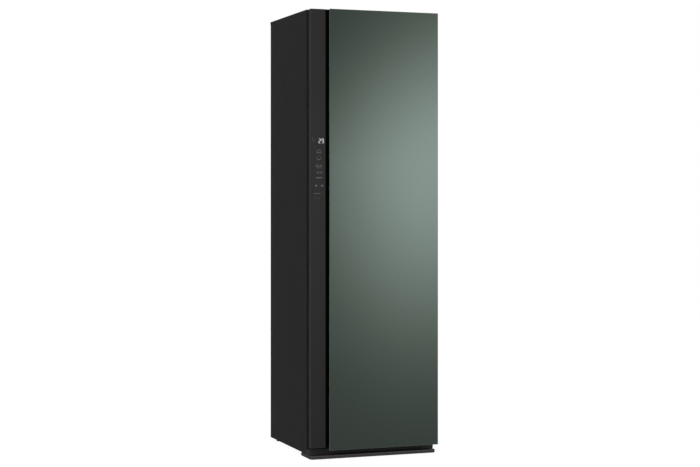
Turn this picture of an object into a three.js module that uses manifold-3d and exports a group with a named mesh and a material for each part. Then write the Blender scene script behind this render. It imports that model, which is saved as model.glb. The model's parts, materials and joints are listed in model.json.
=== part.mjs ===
// Clothes care steam cabinet, in millimetres, +Z up, front towards -Y.
// The origin is on the floor under the middle of the cabinet's outline.
import * as THREE from 'three'
import { mergeVertices } from 'three/addons/utils/BufferGeometryUtils.js'
import Module from 'manifold-3d'

const wasm = await Module()
wasm.setup()

// Overall sizes
const cabinetWidth = 595
const cabinetHeight = 1960
const cabinetDepth = 600
const undersideHeight = 18
const glassProud = 15
const doorDepth = 48
const doorGap = 6

// Clearances
const seat = 0.3
const seam = 0.4
const runningGap = 0.3
const overrun = 5

// Facets of round pieces and of rounded corners
const smallSteps = 24
const largeSteps = 40
const cornerSteps = 4
const bevelSteps = 2

// Casing sheet
const skin = 2
const edgeRadius = 3
const frontFlange = 22
const rearFlange = 14
const topPanelHeight = 12
const topWall = 3
const baseWall = 3
const baseRim = 42
const louvreCount = 9
const louvreWidth = 150
const louvreHeight = 6
const louvrePitch = 18
const louvreLowest = 190
const louvreCentre = 120
const rearRecess = 2

// Plate on the floor
const plateInset = 2
const plateSetback = 5
const plateDepth = 130
const plateHeight = 15
const plateCorner = 18
const plateBevel = 3
const kickProud = 11

// Rear feet
const footInsetX = 35.5
const footInsetY = 20
const footRadius = 10
const footThickness = 9
const stemRadius = 5
const stemLength = 35

// Garment cavity
const wallDepth = 47.5
const ceilingDepth = 120
const cavityFloor = 440
const cavityRearMargin = 45
const linerWall = 3
const ledgeReach = 9
const ledgeHeight = 12
const ledgeRise = 72
const foamCeiling = 30
const jacketFloorLap = 3
const shaftHoleRadius = 9

// Shelf in the cavity
const shelfSideGap = 3
const shelfRearGap = 15
const shelfFrontGap = 121
const shelfThickness = 12
const shelfBorder = 16
const shelfCorner = 8
const shelfGapCount = 12
const slatWidth = 10

// Air path under the cavity floor
const ductSideGap = 117
const ductDrop = 60
const ductFrontInset = 28
const ductRearInset = 2
const ductWall = 3
const filterSideGap = 18
const filterDepth = 14
const filterSetback = 43
const filterFrameDrop = 52
const filterTopLap = 7
const filterTopDepth = 60
const filterWindowDepth = 52
const filterTopThickness = 6
const filterGripWidth = 70
const filterGripHeight = 16
const filterGripThickness = 5
const exchangerSideGap = 13
const exchangerDepth = 90
const exchangerSetback = 80
const exchangerHeight = 50
const finCount = 20
const finThickness = 4
const grilleSideGap = 8
const grilleDepth = 70
const grilleRearGap = 13
const grilleThickness = 3
const grilleLap = 3
const grilleBorder = 6
const grilleSlotPitch = 15.8
const grilleSlotWidth = 7
const grilleEndBorder = 14
const aromaWidth = 70
const aromaDepth = 54
const aromaFromWall = 60
const aromaDrop = 24
const aromaRim = 5
const aromaRimThickness = 5
const aromaKnobRadius = 9
const aromaKnobHeight = 9

// Fan
const fanGap = 20
const fanRadius = 68
const fanHubRadius = 20
const fanPlateThickness = 3
const fanHeight = 36
const fanLift = 8
const bladeCount = 12
const bladeThickness = 3
const bladeLength = 26
const bladeTurn = Math.PI / 5
const fanShaftRadius = 4
const fanMotorRadius = 38
const fanMotorHeight = 62

// Tanks and their bay
const baySideGap = 35.5
const bayDepth = 186
const bayFloor = 170
const bayTopGap = 5
const bayWall = 3
const tankRecess = 45
const tankSideGap = 1.5
const tankWall = 3
const tankHeadroom = 14
const tankRearGap = 2
const tankCorner = 9
const tankInnerCorner = 6
const tankLidThickness = 7
const tankLipReach = 20
const tankLipWidth = 120
const tankLipThickness = 5
const tankLipDrop = 26
const tankLipBelowTop = 14
const capRadius = 20
const capHeight = 7

// Compressor, boiler, pump and pipes
const compressorRadius = 60
const compressorHeight = 185
const compressorDome = 20
const compressorEdge = 7
const compressorFromSide = 147.5
const compressorFromRear = 170
const padRadius = 14
const padHeight = 20
const padOffset = 53
const mountPlateSize = 150
const mountPlateThickness = 4
const boilerWidth = 190
const boilerDepth = 120
const boilerHeight = 96
const boilerCorner = 12
const boilerFromSide = 147.5
const boilerFromRear = 170
const boilerLegHeight = 46
const boilerLegSize = 14
const boilerLegInset = 28
const pumpRadius = 25
const pumpHeight = 66
const pumpFromRear = 270
const pipeRadius = 7
const pipeSides = 10
const pipeBend = 45
const steamOutletInset = 35
const steamOutletBehind = 10
const refrigerantInset = 80
const refrigerantBehind = 2

// Moving hanger
const guideEndGap = 35
const guideWidth = 72
const guideHeight = 40
const guideWall = 3
const guideSlot = 20
const carriageEndGap = 7
const carriageSideGap = 3
const carriageThickness = 6
const neckInset = 15
const neckWidth = 14
const neckDepth = 14
const neckDrop = 3
const barRadius = 8
const barDrop = 34
const barOverhang = 10
const ringCount = 6
const ringRadius = 12
const ringWidth = 5
const crankThrow = 18
const crankPinRadius = 4
const crankPinLength = 9
const crankPinGap = 1
const crankRadius = 28
const crankThickness = 9
const crankShaftRadius = 5
const crankMotorSize = 70
const crankMotorHeight = 68
const yokeEndRoom = 4

// Lamp and electronics
const lampWidth = 120
const lampDepth = 30
const lampThickness = 6
const lampCorner = 9
const lampSetback = 45
const boardWidth = 150
const boardDepth = 130
const boardThickness = 2
const boardPost = 8
const boardPostInset = 10
const boardFromSide = 157.5
const boardFromRear = 160
const chipSize = 34
const chipHeight = 12
const inletWidth = 48
const inletHeight = 34
const inletDepth = 24
const inletFlange = 5
const inletFlangeThickness = 3
const socketWidth = 26
const socketHeight = 17
const socketDepth = 16
const prongWidth = 2
const prongHeight = 5
const prongLength = 7
const prongPitch = 7
const inletFromSide = 82.5
const inletRise = 102

// Door
const doorBottom = 50.5
const stripWidth = 71.5
const stripThickness = 5
const stripEdge = 1.5
const gripMouth = 11.9
const gripDepth = 33
const gripUndercut = 21.5
const gripWall = 2.5
const gripTuck = 0.5
const glassThickness = 5
const glassBelowDoor = 11
const glassTopDrop = 0.7
const doorTopDrop = 2
const glassBevel = 0.8
const carrierInset = 1.5
const carrierEndInset = 5
const sideRecess = 5
const frontBand = 18
const leftStile = 10
const hingeStile = 28
const doorRail = 12
const innerPanelThickness = 6
const plateauSideInset = 15
const plateauEndInset = 30
const plateauRise = 15
const plateauCorner = 18
const gasketWidth = 16
const gasketOverlap = 6
const displayMargin = 13.75
const displayHeight = 290
const displayBottom = 1120
const displayThickness = 3

// Hinges
const hingeInset = 12
const pinRadius = 4
const bushWall = 1.5
const bushLength = 30
const bushFlangeRadius = 7
const tongueThickness = 6
const tongueHalfWidth = 8
const bracketPlate = 3.7
const bracketWidth = 45
const bracketDrop = 22
const topTongueDrop = 30
const bottomTongueHeight = 40
const pinHeadRadius = 7
const pinHeadHeight = 3
const notchDepth = 16
const notchRoom = 4
const notchHeadroom = 8

// Trouser press on the inside of the door
const pressWidth = 300
const pressRise = 170
const pressTopGap = 270
const pressBoardThickness = 10
const pressPlateThickness = 20
const pressGap = 3
const pressAxisOut = 8
const pressLugRadius = 6
const pressPinRadius = 3
const pressArmHeight = 20
const pressLugHeight = 30
const pressArmInset = 60
const pressCorner = 14
const hookWidth = 60
const hookReach = 30
const hookThickness = 5
const hookLip = 12
const hookHeight = 30
const hookAbovePress = 60
const railWidth = 16
const railLipWidth = 26
const railLip = 4
const railDepth = 10
const railRise = 22
const railTopGap = 14
const clipWidth = 44
const clipHeight = 34
const clipDepth = 22

// Planes that several pieces share
const halfWidth = cabinetWidth / 2
const glassFront = -cabinetDepth / 2
const casingRear = cabinetDepth / 2
const stripFront = glassFront + glassProud
const doorBack = stripFront + doorDepth
const casingFront = doorBack + doorGap
const kickTop = bottomTongueHeight - seat
const bracketBack = casingFront - seat
const bracketFront = bracketBack - bracketPlate
const panelRear = casingRear - rearRecess
const sideRear = panelRear - skin - seam
const sideTop = cabinetHeight - topPanelHeight - seam
const doorTop = cabinetHeight - doorTopDrop
const baseInside = undersideHeight + baseWall
const cavityWidth = cabinetWidth - 2 * wallDepth
const cavityTop = cabinetHeight - ceilingDepth
const cavityRear = casingRear - cavityRearMargin
const linerHalf = cavityWidth / 2 + linerWall
const linerBottom = cavityFloor - linerWall
const linerTop = cavityTop + linerWall
const flangeHalf = halfWidth - frontFlange - seam
const flangeBottom = cavityFloor - frontFlange
const flangeTop = cavityTop + frontFlange
const bayFlangeBottom = bayFloor - bayWall
const jacketTop = linerTop + foamCeiling
const ledgeTop = cavityFloor + ledgeRise
const shelfRear = cavityRear - shelfRearGap
const shelfFront = casingFront + shelfFrontGap
const ductWidth = cavityWidth - 2 * ductSideGap
const ductFront = casingFront + ductFrontInset
const ductRear = cavityRear - ductRearInset
const ductFloor = linerBottom - ductDrop
const filterWidth = ductWidth - 2 * filterSideGap
const filterCentreY = ductFront + filterSetback
const aromaCentreX = cavityWidth / 2 - aromaFromWall
const exchangerWidth = ductWidth - 2 * exchangerSideGap
const exchangerCentreY = ductFront + exchangerSetback + exchangerDepth / 2
const fanCentreY = exchangerCentreY + exchangerDepth / 2 + fanGap + fanRadius
const grilleWidth = ductWidth - 2 * grilleSideGap
const grilleCentreY = ductRear - grilleRearGap - grilleDepth / 2
const bayWidth = cabinetWidth - 2 * baySideGap
const bayTop = ductFloor - bayTopGap
const compressorX = -halfWidth + compressorFromSide
const compressorY = casingRear - compressorFromRear
const boilerX = halfWidth - boilerFromSide
const boilerY = casingRear - boilerFromRear
const plateauTop = cavityTop - plateauEndInset
const plateauBottom = cavityFloor + plateauEndInset
const pressBottom = plateauBottom + pressRise
const pressTop = plateauTop - pressTopGap
const hingeX = halfWidth - hingeInset
const hingeY = stripFront + doorDepth / 2

// Materials
const finish = (color, roughness, metalness = 0) =>
  new THREE.MeshStandardMaterial({ color, roughness, metalness })
const blackSheet = finish(0x2b2a2b, 0.55, 0.2)
const blackPlastic = finish(0x1b1b1c, 0.6)
const stripBlack = finish(0x2d2d2e, 0.35)
const greenMirror = finish(0x59655e, 0.12, 0.7)
const linerGrey = finish(0x8b9094, 0.45)
const foamWhite = finish(0xd8d4c4, 0.9)
const steel = finish(0xa7abad, 0.35, 0.9)
const zinc = finish(0x8d9194, 0.45, 0.8)
const rubber = finish(0x222222, 0.85)
const copper = finish(0xb3704a, 0.4, 0.9)
const aluminium = finish(0xb9bcbe, 0.4, 0.9)
const tankSmoke = finish(0x5b666e, 0.2)
const padCloth = finish(0x6f7377, 0.9)
const boardGreen = finish(0x2f5b3b, 0.6)
const lampWhite = finish(0xf2f2ee, 0.4)

// Solids: closed three.js geometry in, manifold out, and back again
function solid(geometry) {
  const bare = geometry.clone()
  bare.deleteAttribute('normal')
  bare.deleteAttribute('uv')
  const merged = mergeVertices(bare)
  return new wasm.Manifold(new wasm.Mesh({
    numProp: 3,
    vertProperties: new Float32Array(merged.attributes.position.array),
    triVerts: new Uint32Array(merged.index.array)
  }))
}

function geometryOf(manifold) {
  const mesh = manifold.getMesh()
  const geometry = new THREE.BufferGeometry()
  const positions = new THREE.BufferAttribute(new Float32Array(mesh.vertProperties), mesh.numProp)
  geometry.setAttribute('position', positions)
  geometry.setIndex(new THREE.BufferAttribute(new Uint32Array(mesh.triVerts), 1))
  geometry.computeVertexNormals()
  return geometry
}

const join = (...solids) => solids.reduce((whole, next) => whole.add(next))
const cut = (whole, ...tools) => tools.reduce((rest, tool) => rest.subtract(tool), whole)

// A block between two values on each axis
function block([x0, x1], [y0, y1], [z0, z1]) {
  const geometry = new THREE.BoxGeometry(Math.abs(x1 - x0), Math.abs(y1 - y0), Math.abs(z1 - z0))
  geometry.translate((x0 + x1) / 2, (y0 + y1) / 2, (z0 + z1) / 2)
  return solid(geometry)
}

const around = (centre, size) => [centre - size / 2, centre + size / 2]

// An outline of [across, up, corner radius] points, rounded where a radius is given
function outline(points) {
  const shape = new THREE.Shape()
  const path = []
  points.forEach(([x, y, radius = 0], index) => {
    const here = new THREE.Vector2(x, y)
    if (radius === 0) {
      path.push(here)
      return
    }
    const before = points[(index + points.length - 1) % points.length]
    const after = points[(index + 1) % points.length]
    const back = new THREE.Vector2(before[0], before[1]).sub(here).setLength(radius).add(here)
    const ahead = new THREE.Vector2(after[0], after[1]).sub(here).setLength(radius).add(here)
    path.push(...new THREE.QuadraticBezierCurve(back, here, ahead).getPoints(cornerSteps))
  })
  shape.setFromPoints(path)
  return shape
}

const rectangle = ([x0, x1], [y0, y1], radius = 0) =>
  outline([[x0, y0, radius], [x1, y0, radius], [x1, y1, radius], [x0, y1, radius]])

// An outline carried along its normal, with its end edges bevelled inside the same length
function extruded(shape, length, bevel) {
  return new THREE.ExtrudeGeometry(shape, {
    depth: length - 2 * bevel,
    bevelEnabled: bevel > 0,
    bevelSize: bevel,
    bevelThickness: bevel,
    bevelOffset: -bevel,
    bevelSegments: bevelSteps
  })
}

// A plan outline raised from one height to another
function raised(shape, [z0, z1], bevel = 0) {
  const geometry = extruded(shape, z1 - z0, bevel)
  geometry.translate(0, 0, z0 + bevel)
  return solid(geometry)
}

// An upright outline of [x, z] points carried from one depth to another
function upright(shape, [y0, y1], bevel = 0) {
  const geometry = extruded(shape, y1 - y0, bevel)
  geometry.rotateX(Math.PI / 2)
  geometry.translate(0, y1 - bevel, 0)
  return solid(geometry)
}

// A side outline of [y, z] points carried along X
function along(shape, [x0, x1]) {
  const geometry = extruded(shape, x1 - x0, 0)
  geometry.rotateY(Math.PI / 2)
  geometry.rotateX(Math.PI / 2)
  geometry.translate(x0, 0, 0)
  return solid(geometry)
}

// A turned piece: [radius, height] points from the axis out and back to it
function turned(profile, x, y, steps = largeSteps) {
  const points = profile.map(([radius, z]) => new THREE.Vector2(radius, z))
  const geometry = new THREE.LatheGeometry(points, steps)
  geometry.rotateX(Math.PI / 2)
  geometry.translate(x, y, 0)
  return solid(geometry)
}

const drum = (radius, [z0, z1], x, y, steps = smallSteps) =>
  turned([[0, z0], [radius, z0], [radius, z1], [0, z1]], x, y, steps)

// A round rod along X
function rod(radius, [x0, x1], y, z) {
  const geometry = new THREE.CylinderGeometry(radius, radius, x1 - x0, smallSteps)
  geometry.rotateZ(Math.PI / 2)
  geometry.translate((x0 + x1) / 2, y, z)
  return solid(geometry)
}

// A pipe through corner points, each corner bent to the pipe bend radius
function pipe(corners) {
  const points = corners.map((corner) => new THREE.Vector3(...corner))
  const path = new THREE.CurvePath()
  let from = points[0]
  for (let index = 1; index < points.length - 1; index += 1) {
    const here = points[index]
    const arrive = points[index - 1].clone().sub(here).setLength(pipeBend).add(here)
    const leave = points[index + 1].clone().sub(here).setLength(pipeBend).add(here)
    path.add(new THREE.LineCurve3(from, arrive))
    path.add(new THREE.QuadraticBezierCurve3(arrive, here, leave))
    from = leave
  }
  path.add(new THREE.LineCurve3(from, points[points.length - 1]))
  const section = new THREE.Shape()
  section.absarc(0, 0, pipeRadius, 0, 2 * Math.PI)
  const settings = { extrudePath: path, steps: pipeSides * points.length, curveSegments: pipeSides / 2 }
  return solid(new THREE.ExtrudeGeometry(section, settings))
}

const cabinet = new THREE.Group()
const door = new THREE.Group()
const machine = new THREE.Group()
cabinet.add(door, machine)

function add(group, name, material, manifold) {
  const mesh = new THREE.Mesh(geometryOf(manifold), material)
  mesh.name = name
  group.add(mesh)
  return mesh
}

// Casing sides: sheet with a flange folded in at the front and the rear
function sidePanel(side) {
  const out = side * halfWidth
  const shape = outline([
    [out, casingFront, edgeRadius],
    [out, sideRear, edgeRadius],
    [out - side * rearFlange, sideRear],
    [out - side * rearFlange, sideRear - skin],
    [out - side * skin, sideRear - skin],
    [out - side * skin, casingFront + skin],
    [out - side * frontFlange, casingFront + skin],
    [out - side * frontFlange, casingFront]
  ])
  return raised(shape, [undersideHeight, sideTop])
}
add(cabinet, 'side_panel_left', blackSheet, sidePanel(-1))
add(cabinet, 'side_panel_right', blackSheet, sidePanel(1))

// Top cover, a shallow pan with the front rail that closes the drive space
function topPanel() {
  const lid = raised(rectangle([-halfWidth, halfWidth], [casingFront, casingRear], edgeRadius),
    [cabinetHeight - topPanelHeight, cabinetHeight])
  const hollow = block([-halfWidth + topWall, halfWidth - topWall],
    [casingFront + topWall, casingRear - topWall],
    [cabinetHeight - topPanelHeight - overrun, cabinetHeight - topWall])
  const rail = block([-flangeHalf, flangeHalf], [casingFront, casingFront + topWall],
    [flangeTop + seam, cabinetHeight - topWall])
  return join(cut(lid, hollow), rail)
}
add(cabinet, 'top_panel', blackSheet, topPanel())

// Rear cover with louvres beside the compressor and a window for the power inlet
const inletX = -halfWidth + inletFromSide
const inletZ = undersideHeight + inletRise
function rearPanel() {
  const half = halfWidth - skin
  const sheet = block([-half, half], [panelRear - skin, panelRear], [undersideHeight, sideTop])
  const through = [panelRear - skin - overrun, panelRear + overrun]
  const louvres = Array.from({ length: louvreCount }, (_, row) => louvreLowest + row * louvrePitch)
    .flatMap((z) => [-1, 1].map((side) => block(
      around(side * louvreCentre, louvreWidth), through, around(z, louvreHeight))))
  const window = block(around(inletX, inletWidth + 2 * seat), through,
    around(inletZ, inletHeight + 2 * seat))
  return cut(sheet, ...louvres, window)
}
add(cabinet, 'rear_panel', blackSheet, rearPanel())

// Bottom tray that carries the machine, with holes for the stems of the rear feet
const footX = halfWidth - footInsetX
const footY = casingRear - footInsetY
function baseFrame() {
  const half = halfWidth - skin - seam
  const front = casingFront + skin + seam
  const rear = sideRear - skin - seam
  const tray = cut(
    block([-half, half], [front, rear], [undersideHeight, undersideHeight + baseRim]),
    block([-half + baseWall, half - baseWall], [front + baseWall, rear - baseWall],
      [baseInside, undersideHeight + baseRim + overrun]))
  const holes = [-1, 1].map((side) => drum(stemRadius + runningGap,
    [undersideHeight - overrun, baseInside + overrun], side * footX, footY))
  return cut(tray, ...holes)
}
add(cabinet, 'base_frame', zinc, baseFrame())

// Flat plate on the floor under the door, stepped up to the underside of the casing
function basePlate() {
  const half = halfWidth - plateInset
  const front = stripFront + plateSetback
  const rear = front + plateDepth
  const plan = outline([
    [-half, front, plateCorner], [half, front, plateCorner], [half, rear], [-half, rear]
  ])
  const step = block([-half + plateBevel, half - plateBevel], [casingFront + seam, rear - plateBevel],
    [plateBevel, undersideHeight - seat])
  return join(raised(plan, [0, plateHeight], plateBevel), step)
}
add(cabinet, 'base_plate', blackPlastic, basePlate())

// Kick cover across the casing front under the door, hollowed for the plate of the bottom hinge bracket
add(cabinet, 'kick_cover', blackPlastic, cut(
  block([-halfWidth, halfWidth], [casingFront - kickProud, casingFront - seat],
    [plateHeight + seat, kickTop]),
  block([halfWidth - bracketWidth - seat, halfWidth - edgeRadius + seat],
    [bracketFront - seat, casingFront],
    [kickTop - bracketDrop + tongueThickness, kickTop + overrun])))

// Kick panel between the side flanges, from the underside to the tank bay
add(cabinet, 'kick_panel', blackSheet, block([-flangeHalf, flangeHalf], [casingFront, casingFront + skin],
  [undersideHeight, bayFlangeBottom - seam]))

// Rear feet: a pad with a stem that screws up through the bottom tray
for (const [name, side] of [['rear_foot_left', -1], ['rear_foot_right', 1]]) {
  const stemTop = footThickness + stemLength
  const foot = turned([
    [0, 0], [footRadius, 0], [footRadius, footThickness - seat], [stemRadius, footThickness],
    [stemRadius, stemTop], [0, stemTop]
  ], 0, 0, smallSteps)
  add(cabinet, name, rubber, foot).position.set(side * footX, footY, 0)
}

// Garment cavity liner: a box open to the front, with its flange, shelf ledges and floor openings
function cavityLiner() {
  const shell = block([-linerHalf, linerHalf], [casingFront, cavityRear + linerWall],
    [linerBottom, linerTop])
  const flange = block([-flangeHalf, flangeHalf], [casingFront, casingFront + linerWall],
    [flangeBottom, flangeTop])
  const inside = block([-cavityWidth / 2, cavityWidth / 2], [casingFront - overrun, cavityRear],
    [cavityFloor, cavityTop])
  const ledges = [-1, 1].map((side) => block(
    side > 0 ? [cavityWidth / 2 - ledgeReach, linerHalf] : [-linerHalf, -cavityWidth / 2 + ledgeReach],
    [shelfFront, shelfRear], [ledgeTop - ledgeHeight, ledgeTop]))
  const through = [linerBottom - overrun, cavityFloor + overrun]
  const floorHoles = [
    block(around(0, filterWidth + 2 * seat), around(filterCentreY, filterWindowDepth), through),
    block(around(0, grilleWidth - 2 * grilleLap), around(grilleCentreY, grilleDepth - 2 * grilleLap),
      through),
    block(around(aromaCentreX, aromaWidth + 2 * seat), around(filterCentreY, aromaDepth + 2 * seat), through)
  ]
  const shaftHole = drum(shaftHoleRadius, [cavityTop - overrun, linerTop + overrun], 0, 0)
  return join(cut(join(shell, flange), inside, ...floorHoles, shaftHole), ...ledges)
}
add(cabinet, 'cavity_liner', linerGrey, cavityLiner())

// Insulating jacket over the sides, rear and ceiling of the liner
function foamJacket() {
  const half = halfWidth - skin - seat
  const body = block([-half, half], [casingFront + linerWall + seat, sideRear - skin - seat],
    [linerBottom + jacketFloorLap, jacketTop])
  const core = block([-linerHalf - seat, linerHalf + seat],
    [casingFront - overrun, cavityRear + linerWall + seat], [linerBottom - overrun, linerTop + seat])
  const room = around(0, crankMotorSize + 2 * jacketFloorLap)
  const drive = block(room, room, [linerTop - overrun, jacketTop + overrun])
  return cut(body, core, drive)
}
add(cabinet, 'foam_jacket', foamWhite, foamJacket())

// Air duct under the cavity floor, open upwards, with holes for the fan shaft and the steam pipe
const steamOutletX = grilleWidth / 2 - steamOutletInset
const steamOutletY = grilleCentreY + steamOutletBehind
function airDuct() {
  const outer = block(around(0, ductWidth), [ductFront, ductRear], [ductFloor, linerBottom - seat])
  const inner = block(around(0, ductWidth - 2 * ductWall), [ductFront + ductWall, ductRear - ductWall],
    [ductFloor + ductWall, linerBottom + overrun])
  const hole = [ductFloor - overrun, ductFloor + ductWall + overrun]
  return cut(outer, inner,
    drum(fanShaftRadius + runningGap, hole, 0, fanCentreY),
    drum(pipeRadius + seat, hole, steamOutletX, steamOutletY))
}
add(machine, 'air_duct', blackPlastic, airDuct())

// Steam and air outlet grille on the cavity floor
function floorGrille() {
  const lid = block(around(0, grilleWidth), around(grilleCentreY, grilleDepth),
    [cavityFloor + seat, cavityFloor + seat + grilleThickness])
  const count = Math.floor((grilleWidth - 2 * grilleEndBorder) / grilleSlotPitch)
  const slots = Array.from({ length: count }, (_, index) => block(
    around((index - (count - 1) / 2) * grilleSlotPitch, grilleSlotWidth),
    around(grilleCentreY, grilleDepth - 2 * grilleBorder),
    [cavityFloor - overrun, cavityFloor + grilleThickness + overrun]))
  return cut(lid, ...slots)
}
add(machine, 'floor_grille', linerGrey, floorGrille())

// Finned heat exchanger in the duct
function heatExchanger() {
  const floor = ductFloor + ductWall + seat
  const plate = block(around(0, exchangerWidth), around(exchangerCentreY, exchangerDepth),
    [floor, floor + finThickness])
  const pitch = (exchangerWidth - finThickness) / (finCount - 1)
  const fins = Array.from({ length: finCount }, (_, index) => block(
    around((index - (finCount - 1) / 2) * pitch, finThickness),
    around(exchangerCentreY, exchangerDepth), [floor, floor + exchangerHeight]))
  return join(plate, ...fins)
}
add(machine, 'heat_exchanger', aluminium, heatExchanger())

// Fan: motor under the duct with its shaft up through the floor, and the impeller on the shaft
const impellerBottom = ductFloor + ductWall + fanLift
function fanMotor() {
  const top = ductFloor - seat
  const body = turned([
    [0, top - fanMotorHeight], [fanMotorRadius - edgeRadius, top - fanMotorHeight],
    [fanMotorRadius, top - fanMotorHeight + edgeRadius], [fanMotorRadius, top], [0, top]
  ], 0, fanCentreY)
  return join(body, drum(fanShaftRadius, [top - edgeRadius, impellerBottom + fanHeight], 0, fanCentreY))
}
add(machine, 'fan_motor', steel, fanMotor())

function fanImpeller() {
  const disc = drum(fanRadius, [impellerBottom, impellerBottom + fanPlateThickness], 0, 0, largeSteps)
  const hub = drum(fanHubRadius, [impellerBottom, impellerBottom + fanHeight], 0, 0)
  const blades = Array.from({ length: bladeCount }, (_, index) => {
    const geometry = new THREE.BoxGeometry(bladeLength, bladeThickness, fanHeight)
    geometry.rotateZ(bladeTurn)
    geometry.translate(fanRadius - bladeLength / 2, 0, impellerBottom + fanHeight / 2)
    geometry.rotateZ(index / bladeCount * 2 * Math.PI)
    return solid(geometry)
  })
  const bore = drum(fanShaftRadius + runningGap,
    [impellerBottom - overrun, impellerBottom + fanHeight + overrun], 0, 0)
  return cut(join(disc, hub, ...blades), bore)
}
add(machine, 'fan_impeller', blackPlastic, fanImpeller()).position.set(0, fanCentreY, 0)

// Lint filter: a framed panel that hangs in the duct from its top, with a finger grip
function lintFilter() {
  const bottom = cavityFloor - filterFrameDrop
  const frame = block(around(0, filterWidth), around(filterCentreY, filterDepth),
    [bottom, cavityFloor + seat])
  const lid = block(around(0, filterWidth + 2 * filterTopLap), around(filterCentreY, filterTopDepth),
    [cavityFloor + seat, cavityFloor + seat + filterTopThickness])
  const grip = upright(rectangle(around(0, filterGripWidth),
    [cavityFloor + filterTopThickness, cavityFloor + filterTopThickness + filterGripHeight], edgeRadius),
  around(filterCentreY, filterGripThickness))
  const face = (side) => block(around(0, filterWidth - 2 * filterTopThickness),
    around(filterCentreY + side * filterDepth / 2, filterDepth / 2),
    [bottom + filterTopThickness, cavityFloor - filterTopThickness])
  return cut(join(frame, lid, grip), face(-1), face(1))
}
add(cabinet, 'lint_filter', linerGrey, lintFilter())

// Scent cartridge beside the filter
function aromaTray() {
  const cup = block(around(aromaCentreX, aromaWidth), around(filterCentreY, aromaDepth),
    [cavityFloor - aromaDrop, cavityFloor + seat])
  const rim = block(around(aromaCentreX, aromaWidth + 2 * aromaRim),
    around(filterCentreY, aromaDepth + 2 * aromaRim),
    [cavityFloor + seat, cavityFloor + seat + aromaRimThickness])
  const knob = drum(aromaKnobRadius, [cavityFloor + seat, cavityFloor + aromaRimThickness + aromaKnobHeight],
    aromaCentreX, filterCentreY)
  return join(cup, rim, knob)
}
add(cabinet, 'aroma_tray', linerGrey, aromaTray())

// Slatted shelf that lies on the ledges
function shelf() {
  const bottom = ledgeTop + seat
  const width = cavityWidth - 2 * shelfSideGap
  const plate = raised(rectangle(around(0, width), [shelfFront, shelfRear], shelfCorner),
    [bottom, bottom + shelfThickness])
  const pitch = (width - 2 * shelfBorder) / shelfGapCount
  const gaps = Array.from({ length: shelfGapCount }, (_, index) => block(
    around((index - (shelfGapCount - 1) / 2) * pitch, pitch - slatWidth),
    [shelfFront + shelfBorder, shelfRear - shelfBorder],
    [ledgeTop - overrun, bottom + shelfThickness + overrun]))
  return cut(plate, ...gaps)
}
add(cabinet, 'shelf', steel, shelf())

// Bay for the two water tanks, open to the front, with a divider and a front flange
function tankBay() {
  const rear = casingFront + bayDepth
  const shell = block([-bayWidth / 2, bayWidth / 2], [casingFront, rear], [bayFloor, bayTop])
  const flange = block([-flangeHalf, flangeHalf], [casingFront, casingFront + bayWall],
    [bayFlangeBottom, flangeBottom - seam])
  const room = (side) => block(
    side > 0 ? [bayWall / 2, bayWidth / 2 - bayWall] : [-bayWidth / 2 + bayWall, -bayWall / 2],
    [casingFront - overrun, rear - bayWall], [bayFloor + bayWall, bayTop - bayWall])
  return cut(join(shell, flange), room(-1), room(1))
}
add(machine, 'tank_bay', linerGrey, tankBay())

// Water tanks: open boxes with a finger lip in front, and lids with a filler cap
const tankWidth = bayWidth / 2 - bayWall * 3 / 2 - 2 * tankSideGap
const tankCentre = bayWall / 2 + tankSideGap + tankWidth / 2
const tankFloor = bayFloor + bayWall + seat
const tankLipFront = casingFront + tankRecess
const tankFront = tankLipFront + tankLipReach
const tankRear = casingFront + bayDepth - bayWall - tankRearGap
const tankTop = bayTop - bayWall - tankHeadroom - capHeight - tankLidThickness
function tank() {
  const shell = raised(rectangle(around(0, tankWidth), [tankFront, tankRear], tankCorner),
    [tankFloor, tankTop])
  const hollow = raised(rectangle(around(0, tankWidth - 2 * tankWall),
    [tankFront + tankWall, tankRear - tankWall], tankInnerCorner), [tankFloor + tankWall, tankTop + overrun])
  const lipTop = tankTop - tankLipBelowTop
  const lip = join(
    block(around(0, tankLipWidth), [tankLipFront, tankFront + tankWall / 2],
      [lipTop - tankLipThickness, lipTop]),
    block(around(0, tankLipWidth), [tankLipFront, tankLipFront + tankLipThickness],
      [lipTop - tankLipDrop, lipTop]))
  return join(cut(shell, hollow), lip)
}
function tankLid() {
  const plate = raised(rectangle(around(0, tankWidth), [tankFront, tankRear], tankCorner),
    [tankTop + seat, tankTop + seat + tankLidThickness])
  const cap = drum(capRadius, [tankTop + tankLidThickness / 2, tankTop + tankLidThickness + capHeight],
    0, (tankFront + tankRear) / 2)
  return join(plate, cap)
}
for (const [name, side] of [['supply_tank', -1], ['drain_tank', 1]]) {
  add(machine, name, tankSmoke, tank()).position.x = side * tankCentre
  add(machine, name + '_lid', blackPlastic, tankLid()).position.x = side * tankCentre
}

// Compressor on its rubber mount
const mountTop = baseInside + seat + padHeight + mountPlateThickness
function compressorMount() {
  const plate = block(around(compressorX, mountPlateSize), around(compressorY, mountPlateSize),
    [mountTop - mountPlateThickness, mountTop])
  const pads = [-1, 1].flatMap((right) => [-1, 1].map((back) => drum(padRadius,
    [baseInside + seat, mountTop - mountPlateThickness / 2],
    compressorX + right * padOffset, compressorY + back * padOffset)))
  return join(plate, ...pads)
}
add(machine, 'compressor_mount', rubber, compressorMount())

function compressor() {
  const foot = mountTop + seat
  const top = foot + compressorHeight
  return turned([
    [0, foot], [compressorRadius - compressorDome, foot], [compressorRadius, foot + compressorDome],
    [compressorRadius, top - compressorDome], [compressorRadius - compressorEdge, top - compressorEdge],
    [compressorRadius - compressorDome, top], [0, top]
  ], compressorX, compressorY)
}
add(machine, 'compressor', blackSheet, compressor())

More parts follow.
